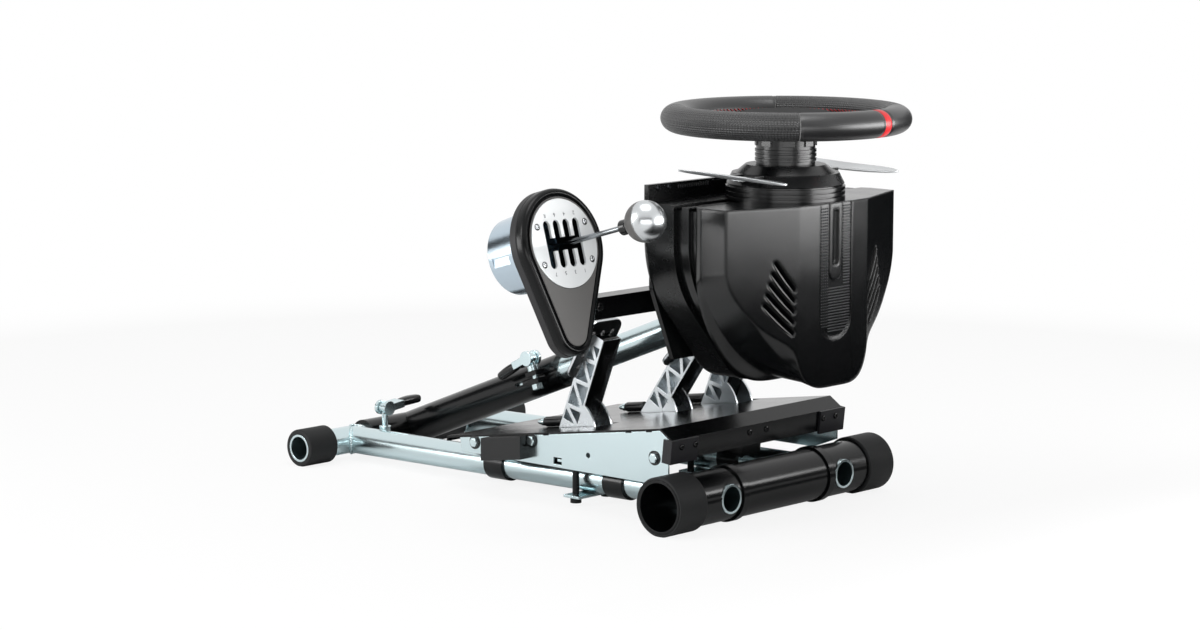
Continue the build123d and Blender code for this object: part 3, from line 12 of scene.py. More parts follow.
import bmesh
import bpy
import numpy as np
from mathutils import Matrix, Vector


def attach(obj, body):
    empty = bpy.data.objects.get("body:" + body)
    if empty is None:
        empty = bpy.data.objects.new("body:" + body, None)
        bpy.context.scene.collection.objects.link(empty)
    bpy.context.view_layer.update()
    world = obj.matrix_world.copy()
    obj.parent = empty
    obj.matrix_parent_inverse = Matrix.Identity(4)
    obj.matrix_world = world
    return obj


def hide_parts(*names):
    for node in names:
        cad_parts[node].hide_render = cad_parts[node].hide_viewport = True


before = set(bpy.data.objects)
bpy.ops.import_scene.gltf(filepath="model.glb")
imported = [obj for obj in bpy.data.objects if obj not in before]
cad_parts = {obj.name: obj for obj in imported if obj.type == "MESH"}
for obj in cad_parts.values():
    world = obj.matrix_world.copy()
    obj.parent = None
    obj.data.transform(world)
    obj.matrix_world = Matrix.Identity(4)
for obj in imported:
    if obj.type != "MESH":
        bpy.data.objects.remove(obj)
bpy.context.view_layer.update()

MM = 0.001
SMOOTH_DEG = 40.0
CLOUDS_PER_METRE = 28.0
QUARTER = np.linspace(0, np.pi / 2, 5)
CORNERS = np.array([(-1, -1, 0), (1, -1, 0), (1, 1, 0), (-1, 1, 0)], float)
Array = np.ndarray
Vec = Sequence[float]
Pair = tuple[float, float]
Point = tuple[float, float, float]
RGBA = tuple[float, float, float, float]
Tree = bpy.types.NodeTree
LOG = logging.getLogger("wheel_stand")


def srgb(code: str) -> RGBA:
    """Turn an sRGB hex colour into linear RGBA.

    Args:
        code: Colour such as "#1a1b1c".

    Returns:
        Linear red, green, blue and an alpha of 1.
    """
    raw = np.array([int(code[i : i + 2], 16) for i in (1, 3, 5)]) / 255
    linear = np.where(raw <= 0.04045, raw / 12.92, ((raw + 0.055) / 1.055) ** 2.4)
    return (*map(float, linear), 1.0)


def add_node(tree: Tree, kind: str, links: dict[str | int, Any] | None = None, **settings: Any) -> Any:
    """Add one shader node with its settings, socket values and links.

    Args:
        tree: Node tree that gets the node.
        kind: Blender's node type without its common prefix.
        links: Input socket name or number to a plain value or to another node's output socket.
        settings: Properties of the node itself.

    Returns:
        The new node.
    """
    node = tree.nodes.new(f"ShaderNode{kind}")
    for name, value in settings.items():
        setattr(node, name, value)
    for name, value in (links or {}).items():
        if isinstance(value, bpy.types.NodeSocket):
            tree.links.new(value, node.inputs[name])
        else:
            node.inputs[name].default_value = value
    return node


def combine(tree: Tree, operation: str, first: Any, second: Any) -> Any:
    """Add a math node on two sockets or values and return its result socket."""
    node = add_node(tree, "Math", {0: first, 1: second}, operation=operation)
    return node.outputs["Value"]


class Pattern(Enum):
    """Surface pattern of a finish."""

    PLAIN = "plain"
    GRAIN = "grain"
    BRUSHED = "brushed"
    PERFORATED = "perforated"


@dataclass(frozen=True)
class Finish:
    """One real surface: its colour, its gloss and the relief that its making leaves.

    The size is the pitch of the pattern, patchy is how far the roughness wanders either way, and the edge is the
    radius of the worn edges.
    """

    name: str
    colour: str
    metallic: float
    roughness: float
    pattern: Pattern = Pattern.PLAIN
    size_mm: float = 1.0
    relief: float = 0.1
    patchy: float = 0.0
    specular: float = 0.5
    edge_mm: float = 0.6

    def material(self) -> bpy.types.Material:
        """Return the finish as a node material, made on first use."""
        known = bpy.data.materials.get(self.name)
        return known if known else self._make()

    def _make(self) -> bpy.types.Material:
        """Build the node tree: gloss mottling, relief of the pattern and softly worn edges.

        Returns:
            The new material.
        """
        material = bpy.data.materials.new(self.name)
        material.use_nodes = True
        tree = material.node_tree
        shader = tree.nodes["Principled BSDF"]
        for socket, value in (("Base Color", srgb(self.colour)), ("Metallic", self.metallic),
                              ("Roughness", self.roughness), ("Specular IOR Level", self.specular)):
            shader.inputs[socket].default_value = value
        where = add_node(tree, "TexCoord")
        worn = add_node(tree, "Bevel", {"Radius": self.edge_mm * MM}, samples=6)
        normal = worn.outputs["Normal"]
        if self.patchy > 0:
            cloud = add_node(tree, "TexNoise", {
                "Vector": where.outputs["Object"], "Scale": CLOUDS_PER_METRE, "Detail": 4.0, "Roughness": 0.6})
            gloss = add_node(tree, "MapRange", {
                "Value": cloud.outputs["Fac"], "From Min": 0.3, "From Max": 0.7,
                "To Min": self.roughness - self.patchy, "To Max": self.roughness + self.patchy})
            tree.links.new(gloss.outputs["Result"], shader.inputs["Roughness"])
        relief = self._relief(tree, where)
        if relief is not None:
            bump = add_node(tree, "Bump", {
                "Height": relief, "Strength": self.relief, "Distance": self.size_mm * MM, "Normal": normal})
            normal = bump.outputs["Normal"]
        tree.links.new(normal, shader.inputs["Normal"])
        return material

    def _relief(self, tree: Tree, where: Any) -> Any:
        """Add the height pattern of the finish.

        Args:
            tree: Node tree of the material.
            where: Its texture coordinate node.

        Returns:
            The output socket that holds the height, or None for a plain finish.
        """
        if self.pattern is Pattern.PLAIN:
            return None
        per_metre = 1 / (self.size_mm * MM)
        if self.pattern is Pattern.PERFORATED:
            # The UV map is in metres along the leather, so cells keep the punch's real pitch.
            holes = add_node(tree, "TexVoronoi", {
                "Vector": where.outputs["UV"], "Scale": per_metre, "Randomness": 0.0})
            return holes.outputs["Distance"]
        spot, detail = where.outputs["Object"], 3.0
        if self.pattern is Pattern.BRUSHED:
            along = add_node(tree, "Mapping", {"Vector": spot, "Scale": (0.02, 1.0, 1.0)})
            spot, detail = along.outputs["Vector"], 2.0
        noise = add_node(tree, "TexNoise", {"Vector": spot, "Scale": per_metre, "Detail": detail})
        return noise.outputs["Fac"]


# Bright zinc plating on drawn steel: a cool blue-grey sheen with faint cloudy patches from the bath.
ZINC = Finish("bright_zinc_plate", "#cddde0", 1.0, 0.21, Pattern.GRAIN, 1.6, 0.015, 0.03)
# Satin black on the corner angles: greyer and more worn than the tray.
SATIN_COAT = Finish("satin_black_coat", "#1a1a1d", 0.0, 0.42, Pattern.GRAIN, 1.2, 0.06, 0.05, 0.3)
# Polyester powder coat on steel: black, glossy at a flat angle, with the slight orange peel of the baked film.
POWDER = Finish("black_powder_coat", "#070809", 0.0, 0.2, Pattern.GRAIN, 1.4, 0.03, 0.02, 0.3)
# Moulded rubber: very dark grey and matte, so its ends show as soft discs.
RUBBER = Finish("moulded_rubber", "#131415", 0.0, 0.62, Pattern.GRAIN, 0.8, 0.10, 0.0, 0.3)
# Injection-moulded ABS with a fine spark-eroded grain, drawn a little coarse so that it shows.
HOUSING = Finish("grained_abs", "#08090a", 0.0, 0.27, Pattern.GRAIN, 0.9, 0.05, 0.02, 0.45)
# The hood is the same moulding with large soft radii along its creases.
HOOD = replace(HOUSING, name="soft_edged_abs", roughness=0.21, relief=0.03, edge_mm=5.0)
# The same moulding left smooth, as on small knobs, blocks and grips.
SMOOTH_ABS = Finish("smooth_abs", "#08090a", 0.0, 0.22, specular=0.45)
# Shell of the shifter, less glossy.
SHELL = Finish("shifter_abs", "#08090a", 0.0, 0.24, specular=0.2)
# Matte painted insert panel of the shifter, a warm grey, and the darker paint of its side. The same grey is
# painted shade on the half of the knob's ball towards its collar.
GREY_PAINT_AND_KNOB_SHADE = Finish("grey_soft_paint", "#5c5b5a", 0.0, 0.5, Pattern.GRAIN, 0.7, 0.08, 0.0, 0.25)
SIDE_PAINT = replace(GREY_PAINT_AND_KNOB_SHADE, name="dark_side_paint", colour="#2c2c2d")
# Dark satin metal under the leather and on the spokes.
DARK_METAL = Finish("dark_satin_metal", "#2a2c2f", 0.8, 0.34, Pattern.GRAIN, 1.0, 0.05)
# Very dark and matte: the boss inside the wheel, where little light comes back, and painted shade on the gimbal
# and the added liner inside the shifter behind the gate.
BLACK_AND_SHADE = Finish("matte_black", "#060607", 0.0, 0.65, specular=0.12)
# Textured strip and vent bars, a shade lighter than the smooth housing round them.
STRIP = Finish("textured_abs", "#1d1e20", 0.0, 0.38, specular=0.35, edge_mm=0.2)
# Punched wheel leather: small holes on a 2 mm pitch, drawn at 3 mm so that they show.
PUNCHED = Finish("perforated_leather", "#1a1a1b", 0.0, 0.40, Pattern.PERFORATED, 3.0, 0.55, 0.0, 0.7)
# Smooth wheel leather with a tight natural grain.
LEATHER = Finish("smooth_leather", "#1b1b1c", 0.0, 0.36, Pattern.GRAIN, 1.2, 0.10, 0.0, 0.7)
# Dyed red leather band and red thread.
RED_LEATHER = Finish("red_leather", "#c51f24", 0.0, 0.38)
RED_THREAD = Finish("red_thread", "#b3262b", 0.0, 0.65)
# Grey piping at the seams: a thin cord whose light grey is a painted highlight along each seam line.
GREY_SEAM_HIGHLIGHT = Finish("grey_piping", "#6b6b6b", 0.0, 0.6)
# Bright paddle blades: a polished skin that also scatters some light, so that it stays pale in shade.
PADDLE = Finish("bright_paddle", "#e4e7e9", 0.5, 0.18)
# Turned satin steel of the knob, and the darker drawn rod below it.
KNOB_STEEL = Finish("turned_knob_steel", "#c9ccce", 1.0, 0.27)
ROD_STEEL = Finish("drawn_rod_steel", "#8d9194", 1.0, 0.2)
# Gate plate, finely brushed along its slots, so that it gathers light from wide around.
BRUSHED = Finish("brushed_gate_steel", "#f2f5f6", 0.3, 0.2, Pattern.BRUSHED, 0.5, 0.05)
# Die-cast aluminium with a satin skin.
CAST = Finish("satin_cast_aluminium", "#c3c8cb", 1.0, 0.28, Pattern.GRAIN, 1.1, 0.06, 0.04)
# Machined aluminium of the shifter's rear case.
MACHINED = Finish("bright_machined_case", "#bccbd6", 1.0, 0.2, Pattern.GRAIN, 2.5, 0.02, 0.03)
# Dark coated pedal plates whose sheared edges stay bare.
PAD_COAT = Finish("dark_pad_coat", "#0b0c0d", 0.0, 0.32, Pattern.GRAIN, 1.0, 0.06, 0.0, 0.35)
BARE_EDGE = Finish("bare_steel_edge", "#c9cdd0", 1.0, 0.25)
# Printed marks, and painted shade for the dark inside of holes, slots and screw seats.
INK = Finish("grey_print", "#4a4d50", 0.0, 0.6)
HOLE_SHADE = Finish("hole_shadow", "#060607", 0.0, 0.8, specular=0.2)


@dataclass(frozen=True)
class Shape:
    """A mesh held as whole arrays, in millimetres.

    Each quad may carry the UV of its four corners and each face the index of its finish.
    """

    points: Array
    quads: Array
    tris: Array = field(default_factory=lambda: np.zeros((0, 3), int))
    quad_uv: Array | None = None
    kinds: Array | None = None

    def placed(self, place: Array) -> "Shape":
        """Return the shape moved by a 4 by 4 matrix."""
        return replace(self, points=self.points @ place[:3, :3].T + place[:3, 3])

    def stamped(self, spots: Sequence[Array]) -> "Shape":
        """Repeat the shape at many places in one go.

        Args:
            spots: Stack of 4 by 4 matrices.

        Returns:
            One shape that holds every copy.
        """
        places, count = np.asarray(spots), len(spots)
        points = np.einsum("mij,nj->mni", places[:, :3, :3], self.points) + places[:, None, :3, 3]
        step = (np.arange(count) * len(self.points))[:, None, None]
        kinds = None
        if self.kinds is not None:
            split = len(self.quads)
            kinds = np.concatenate([np.tile(part, count) for part in (self.kinds[:split], self.kinds[split:])])
        return Shape(points.reshape(-1, 3), (self.quads[None] + step).reshape(-1, 4),
                     (self.tris[None] + step).reshape(-1, 3), None, kinds)

    @staticmethod
    def joined(shapes: Sequence["Shape"]) -> "Shape":
        """Return several shapes as one, numbered by their order as finishes."""
        starts = np.cumsum([0] + [len(shape.points) for shape in shapes])
        quads = np.concatenate([shape.quads + start for shape, start in zip(shapes, starts)])
        tris = np.concatenate([shape.tris + start for shape, start in zip(shapes, starts)])
        kinds = np.concatenate([np.full(len(shape.quads), i) for i, shape in enumerate(shapes)]
                               + [np.full(len(shape.tris), i) for i, shape in enumerate(shapes)])
        return Shape(np.concatenate([shape.points for shape in shapes]), quads, tris, None, kinds)


def circle(count: int) -> Array:
    """Return angles spaced evenly round a full turn, in radians."""
    return np.linspace(0, 2 * np.pi, count, endpoint=False)


def ring(angle: Array) -> Array:
    """Return the points of the unit circle at some angles."""
    return np.stack([np.cos(angle), np.sin(angle)], -1)


def level(outline: Array, height: float) -> Array:
    """Return a flat outline as points at one height."""
    return np.concatenate([outline, np.full((len(outline), 1), height)], 1)


def unit(vector: Vec) -> Array:
    """Return a vector at length 1."""
    array = np.asarray(vector, float)
    return array / np.linalg.norm(array)


def place(origin: Vec, up: Vec, along: Vec = (1, 0, 0)) -> Array:
    """Build the matrix that sets local z on a direction.

    Args:
        origin: Where local zero goes.
        up: Direction of local z.
        along: Direction near local x.

    Returns:
        A 4 by 4 matrix.
    """
    z = unit(up)
    x = unit(np.asarray(along, float) - np.dot(along, z) * z)
    matrix = np.eye(4)
    matrix[:3, 0], matrix[:3, 1], matrix[:3, 2], matrix[:3, 3] = x, np.cross(z, x), z, origin
    return matrix


def row_of(origins: Sequence[Vec], up: Vec) -> Array:
    """Return the stack of matrices of many places that face one way."""
    return np.array([place(origin, up) for origin in origins])


def grid(points: Array, wrap_rows: bool = False, extent: Pair | None = None) -> Shape:
    """Join a grid of points into quads: corner (i, j) meets (i + 1, j) and (i, j + 1), and columns wrap.

    Args:
        points: Array of rows by columns by 3.
        wrap_rows: Whether the last row meets the first.
        extent: Length of the UV map across rows and columns in metres, if it gets one.

    Returns:
        The grid as a shape.
    """
    rows, cols = points.shape[:2]
    i, j = np.meshgrid(np.arange(rows if wrap_rows else rows - 1), np.arange(cols), indexing="ij")
    i, j = i.ravel(), j.ravel()
    corner_i = np.stack([i, i, i + 1, i + 1], 1)
    corner_j = np.stack([j, j + 1, j + 1, j], 1)
    quads = (corner_i % rows) * cols + corner_j % cols
    uv = np.stack([corner_i * extent[0] / rows, corner_j * extent[1] / cols], 2) if extent else None
    return Shape(points.reshape(-1, 3), quads, quad_uv=uv)


def skin(rings: Array) -> Shape:
    """Close a stack of rings into a solid: quads between the rings and a fan over each end.

    Args:
        rings: Array of rings by points by 3.

    Returns:
        The closed shape.
    """
    body = grid(rings)
    count, sides = rings.shape[:2]
    centres = np.stack([rings[0].mean(0), rings[-1].mean(0)])
    start = count * sides
    j = np.arange(sides)
    low = np.stack([j, np.full(sides, start), (j + 1) % sides], 1)
    base = (count - 1) * sides
    high = np.stack([base + (j + 1) % sides, np.full(sides, start + 1), base + j], 1)
    return Shape(np.concatenate([body.points, centres]), body.quads, np.concatenate([low, high]))


def turned(profile: Sequence[Pair], sides: int, closed: bool = False) -> Shape:
    """Turn a profile about local z: each point (r, h) becomes the ring (r cos a, r sin a, h).

    Args:
        profile: Radius and height of each point, in order.
        sides: Points round each ring.
        closed: Whether the profile is a loop, as for a hollow ring.

    Returns:
        The turned shape.
    """
    line = np.asarray(profile, float)
    angle = circle(sides)
    rings = np.stack([line[:, :1] * np.cos(angle), line[:, :1] * np.sin(angle),
                      np.repeat(line[:, 1:], sides, 1)], 2)
    return grid(rings, wrap_rows=True) if closed else skin(rings)


def swept(path: Array, section: Array, up: Vec) -> Shape:
    """Carry a section along a path: each path point gets the section in the plane across its tangent.

    Args:
        path: Points of the path, n by 3.
        section: Outline as m by 2, or n by m by 2 where it changes along the path.
        up: Direction near the section's second axis.

    Returns:
        The swept solid with closed ends.
    """
    tangent = np.gradient(path, axis=0)
    tangent = tangent / np.linalg.norm(tangent, axis=1, keepdims=True)
    side = np.cross(tangent, np.asarray(up, float))
    side = side / np.linalg.norm(side, axis=1, keepdims=True)
    rise = np.cross(side, tangent)
    outline = np.broadcast_to(section, (len(path), *np.shape(section)[-2:]))
    rings = path[:, None] + outline[..., :1] * side[:, None] + outline[..., 1:] * rise[:, None]
    return skin(rings)


def rounded_box(width: float, height: float, radius: float, corner: int = 4) -> Array:
    """Outline of a rectangle with round corners: quarter circles centred a radius in from each corner.

    Args:
        width: Full size along the first axis.
        height: Full size along the second axis.
        radius: Corner radius.
        corner: Points per corner.

    Returns:
        Points of the outline, n by 2.
    """
    turn = np.linspace(0, np.pi / 2, corner)
    quarter = np.arange(4)[:, None] * np.pi / 2 + turn
    signs = np.array([(1, 1), (-1, 1), (-1, -1), (1, -1)], float)
    centre = signs * (np.array([width, height]) / 2 - radius)
    return (centre[:, None] + radius * ring(quarter)).reshape(-1, 2)


def block(outline: Array, depth: float, edge: float) -> Shape:
    """Raise an outline by a depth with a bevelled rim: rings at (0, full), (depth - edge, full), (depth, inset).

    Args:
        outline: Points n by 2 about their middle.
        depth: Height along local z.
        edge: Size of the bevel.

    Returns:
        The closed block.
    """
    shrink = 1 - edge / np.abs(outline).max(0)
    full = level(outline, 0.0)
    rings = np.stack([full, full + (0, 0, depth - edge), full * (*shrink, 1) + (0, 0, depth)])
    return skin(rings)


def add_object(name: str, data: Any) -> bpy.types.Object:
    """Make an object of a mesh, a lamp or a camera and put it into the scene."""
    thing = bpy.data.objects.new(name, data)
    bpy.context.scene.collection.objects.link(thing)
    return thing


def add_piece(name: str, shape: Shape, finishes: Finish | Sequence[Finish], body: str,
              stands_for: Sequence[str] = ()) -> None:
    """Make an object of a shape, dress it and set it on its body.

    Args:
        name: Name of the piece.
        shape: Its mesh in millimetres in the row frame.
        finishes: Its finish, or several for the shape's face kinds.
        body: CAD body that it rides on.
        stands_for: CAD nodes that it replaces.
    """
    mesh = bpy.data.meshes.new(name)
    mesh.from_pydata((shape.points * MM).tolist(), [], shape.quads.tolist() + shape.tris.tolist())
    if shape.quad_uv is not None:
        layer = mesh.uv_layers.new(name="along")
        flat = np.zeros((len(mesh.loops), 2))
        flat[: shape.quad_uv.size // 2] = shape.quad_uv.reshape(-1, 2)
        layer.data.foreach_set("uv", flat.ravel())
    for finish in [finishes] if isinstance(finishes, Finish) else finishes:
        mesh.materials.append(finish.material())
    if not isinstance(finishes, Finish):
        mesh.polygons.foreach_set("material_index", shape.kinds.astype(np.int32))
    work = bmesh.new()
    work.from_mesh(mesh)
    bmesh.ops.recalc_face_normals(work, faces=work.faces)
    work.to_mesh(mesh)
    work.free()
    mesh.polygons.foreach_set("use_smooth", np.ones(len(mesh.polygons), bool))
    mesh.set_sharp_from_angle(angle=np.radians(SMOOTH_DEG))
    mesh.update()
    piece = add_object(name, mesh)
    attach(piece, body)
    if stands_for:
        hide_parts(*stands_for)
    LOG.info("%s: %d faces on %s", name, len(mesh.polygons), body)


def dress(finish: Finish, *nodes: str) -> None:
    """Give CAD nodes a finish.

    Args:
        finish: The finish.
        nodes: Names of the CAD nodes.
    """
    for name in nodes:
        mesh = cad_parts[name].data
        mesh.materials.clear()
        mesh.materials.append(finish.material())


def button_screw(radius: float, height: float) -> Shape:
    """Button head screw: a domed profile with a round socket sunk into its top."""
    dome = (0.55, 0.3) + ring(QUARTER) * (0.45, 0.7)
    profile = np.array([(1.0, 0.0), *dome, (0.5, 1.0), (0.45, 0.3)]) * (radius, height)
    return turned(profile, 20)


def hex_bolt(radius: float, height: float) -> Shape:
    """Hexagon head on a washer: six-sided rings with a chamfered top over a round disc."""
    head = turned([(radius, 0.8), (radius, height * 0.8), (radius * 0.82, height)], 6)
    washer = turned([(radius * 1.4, 0.0), (radius * 1.4, 0.8)], 24)
    return Shape.joined([washer, head])


@dataclass
class Studio:
    """Camera, lamps and pale floor of the picture."""

    camera_at: Point = (2.7165, 2.5565, 0.7403)
    target: Point = (0.0, 0.00445, 0.150)
    lens: float = 94.746
    shift: Pair = (0.014367, 0.032608)
    fade: Pair = (0.3, 1.7)
    near_white: float = 0.87
    world_level: float = 0.32
    floor_half: float = 6.0

    def build(self) -> None:
        """Set up the floor, the world, the lamps, the camera and the view transform."""
        scene = bpy.context.scene
        scene.view_settings.view_transform = "Standard"
        self._floor()
        self._world(scene)
        self._lamp("top_softbox", (0.2, 0.3, 2.6), (0, 0.05, 0.2), 1.3, 20)
        self._lamp("side_softbox", (2.6, -0.9, 1.6), (0, 0, 0.2), 1.0, 20)
        self._lamp("front_panel", (-0.66, 1.53, 0.47), (0, 0.35, 0.47), 1.4, 24, 0.54)
        self._lamp("low_strip", (1.15, 1.3, 0.44), (0, 0.3, 0.44), 1.5, 7, 0.36)
        self._lamp("side_strip", (1.5, -0.9, 0.42), (0.1, 0.3, 0.42), 0.7, 9, 0.5)
        self._card("camera_card", (3.1, 2.95, 1.2), (-1, -1, 0), 6.0, 2.4)
        self._card("far_card", (-1.5, 0.45, 0.4), (1, 0, 0), 1.4, 0.8)
        self._card("floor_card", (-0.9, 1.6, 0.002), (0, 0, 1), 2.8, 2.3)
        self._card("back_card", (1.1, -2.2, 0.95), (-1, 2, 0), 2.0, 0.55)
        self._card("panel_flag", (-0.23, 0.75, 0.18), (0, -1, 0), 0.9, 0.17, True)
        camera = bpy.data.cameras.new("photo_camera")
        camera.sensor_fit = "HORIZONTAL"
        camera.sensor_width = 36.0
        camera.lens = self.lens
        camera.shift_x, camera.shift_y = self.shift
        camera.clip_start = 0.1
        scene.camera = add_object("photo_camera", camera)
        scene.camera.location = self.camera_at
        scene.camera.rotation_euler = self._aim(self.camera_at, self.target)

    @staticmethod
    def _aim(start: Vec, end: Vec) -> Any:
        """Return the turn that points local -z from start to end."""
        return (Vector(end) - Vector(start)).to_track_quat("-Z", "Y").to_euler()

    def _lamp(self, name: str, at: Vec, aim: Vec, size: float, power: float,
              height: float = 0.0) -> None:
        """Add one softbox, square unless it gets a height.

        Args:
            name: Name of the lamp.
            at: Its place in metres.
            aim: Point that it faces.
            size: Side in metres.
            power: Power in watts.
            height: Upright size in metres of a strip.
        """
        lamp = bpy.data.lights.new(name, "AREA")
        lamp.shape = "RECTANGLE"
        lamp.size, lamp.size_y = size, height or size
        lamp.energy = power
        holder = add_object(name, lamp)
        holder.location = at
        holder.rotation_euler = self._aim(at, aim)
        holder.visible_camera = False

    def _card(self, name: str, at: Vec, facing: Vec, width: float, height: float,
              flag: bool = False) -> None:
        """Set up a dark card that only mirrors see, so that bright metal and gloss get their dark bands.

        Args:
            name: Name of the card.
            at: Its middle in metres.
            facing: Direction that it faces.
            width: Size along the floor in metres.
            height: Size across that in metres.
            flag: Whether it also keeps the light of lamps off what lies behind it.
        """
        corners = CORNERS[:, :2] * (width / 2, height / 2)
        spot = place(at, facing, np.cross((0, 0, 1), facing) if facing[2] == 0 else (1, 0, 0))
        mesh = bpy.data.meshes.new(name)
        mesh.from_pydata((corners @ spot[:3, :2].T + spot[:3, 3]).tolist(), [], [(0, 1, 2, 3)])
        mesh.materials.append(Finish("card_black", "#050505", 0.0, 1.0, specular=0.0).material())
        card = add_object(name, mesh)
        card.visible_camera = card.visible_diffuse = False
        card.visible_shadow = flag

    @staticmethod
    def _white_rays(tree: Tree) -> Any:
        """Return a socket that is 1 for rays that look at the backdrop straight, in metal or through glass."""
        path = add_node(tree, "LightPath").outputs
        seen = combine(tree, "MAXIMUM", path["Is Camera Ray"], path["Is Glossy Ray"])
        return combine(tree, "MAXIMUM", seen, path["Is Transmission Ray"])

    def _floor(self) -> None:
        """Lay a wide pale floor: lit and shaded near the object, and fading to the backdrop's white far away."""
        mesh = bpy.data.meshes.new("floor")
        mesh.from_pydata((CORNERS * self.floor_half).tolist(), [], [(0, 1, 2, 3)])
        material = bpy.data.materials.new("pale_floor")
        material.use_nodes = True
        tree = material.node_tree
        shader = tree.nodes["Principled BSDF"]
        shader.inputs["Base Color"].default_value = srgb("#fbfbfb")
        shader.inputs["Roughness"].default_value = 0.9
        where = add_node(tree, "TexCoord")
        away = add_node(tree, "VectorMath", {"Vector": where.outputs["Object"]}, operation="LENGTH")
        fade = add_node(tree, "MapRange", {"Value": away.outputs["Value"], "From Min": self.fade[0],
                                           "From Max": self.fade[1]}, interpolation_type="SMOOTHSTEP")
        far = combine(tree, "MULTIPLY", fade.outputs["Result"], self._white_rays(tree))
        path = add_node(tree, "LightPath")
        near = combine(tree, "MULTIPLY", path.outputs["Is Camera Ray"], self.near_white)
        glow = add_node(tree, "Emission", {"Color": srgb("#ffffff"), "Strength": 1.0})
        mix = add_node(tree, "MixShader", {
            "Fac": combine(tree, "MAXIMUM", far, near), 1: shader.outputs["BSDF"], 2: glow.outputs["Emission"]})
        tree.links.new(mix.outputs["Shader"], tree.nodes["Material Output"].inputs["Surface"])
        mesh.materials.append(material)
        floor = add_object("floor", mesh)

    def _world(self, scene: bpy.types.Scene) -> None:
        """Light the scene evenly and show white to the camera and in mirrors.

        Args:
            scene: The scene that gets the world.
        """
        world = bpy.data.worlds.new("studio")
        world.use_nodes = True
        tree = world.node_tree
        tree.nodes.clear()
        white = srgb("#ffffff")
        soft, bright = (add_node(tree, "Background", {"Color": white, "Strength": strength})
                        for strength in (self.world_level, 1.0))
        mix = add_node(tree, "MixShader", {
            "Fac": self._white_rays(tree), 1: soft.outputs["Background"], 2: bright.outputs["Background"]})
        add_node(tree, "OutputWorld", {"Surface": mix.outputs["Shader"]})
        scene.world = world


@dataclass(frozen=True)
class CapPair:
    """End caps of one cross tube: its axis, their bore, their radius and their outer end along X."""

    name: str
    node: str
    y: float
    z: float
    bore: float
    radius: float
    half: float


@dataclass
class BaseFrame:
    """Zinc tubes, black front pipe and the rubber end caps."""

    rear: CapPair = CapPair("rear_cap_pair", "rear_caps", -295.5, 22.5, 17.0, 23.0, 187.5)
    front: CapPair = CapPair("front_cap_pair", "front_caps", 295.5, 33.0, 30.3, 33.5, 188.5)
    cap_length: float = 45.0
    track: float = 200.0
    tube_r: float = 16.85
    bead_r: float = 1.7
    ripples: int = 40

    def build(self) -> None:
        """Make the caps and the weld beads and dress the tubes."""
        dress(ZINC, "rear_tube", "rails", "tray_bearers", "clamp_bars")
        dress(POWDER, "front_pipe", "pipe_rings", "rail_straps", "clamp_bolts")
        self._caps(self.rear)
        self._caps(self.front)
        self._welds()

    def _caps(self, caps: CapPair) -> None:
        """Turn a pair of open end caps with rounded lips, flattened where they stand on the floor.

        Args:
            caps: The pair.
        """
        radius, bore = caps.radius, caps.bore
        lip = min(2.2, (radius - bore) / 2.2)
        outer = (radius - lip, self.cap_length - lip) + lip * ring(QUARTER)
        profile = [(bore, 0.0), (radius - lip, 0.0), (radius, lip), *outer, (bore + 0.6, self.cap_length),
                   (bore, self.cap_length - 0.6)]
        cap = turned(profile, 72, closed=True)
        start = caps.half - self.cap_length
        pair = cap.stamped([place((sign * start, caps.y, caps.z), (sign, 0, 0), (0, 1, 0)) for sign in (1, -1)])
        pair.points[:, 2] = np.maximum(pair.points[:, 2], 0.0)
        add_piece(caps.name, pair, RUBBER, "root", [caps.node])

    def _welds(self) -> None:
        """Lay a rippled weld bead where each rail meets the rear tube.

        The bead follows the rail's circle pressed onto the tube: at angle a it stands tube_r out from the rail
        axis, and as far along as the tube's surface lies at that height.
        """
        angle, turn = circle(120), circle(10)
        radius = self.tube_r + 0.6
        ripple = self.bead_r + 0.35 * np.cos(self.ripples * angle)
        out = np.stack([np.cos(angle), np.zeros_like(angle), np.sin(angle)], 1)
        forward = np.array((0.0, 1.0, 0.0))
        across = np.cos(turn)[None, :, None] * out[:, None] + np.sin(turn)[None, :, None] * forward
        beads = []
        for sign in (1, -1):
            x = sign * self.track / 2 + radius * np.cos(angle)
            z = radius * 0.985 * np.sin(angle)
            y = self.rear.y + np.sqrt(np.maximum(self.tube_r**2 - z**2, 0)) + 0.8
            path = np.stack([x, y, self.rear.z + z], 1)
            beads.append(grid(path[:, None] + ripple[:, None, None] * across, wrap_rows=True))
        add_piece("rail_welds", Shape.joined(beads), ZINC, "root")


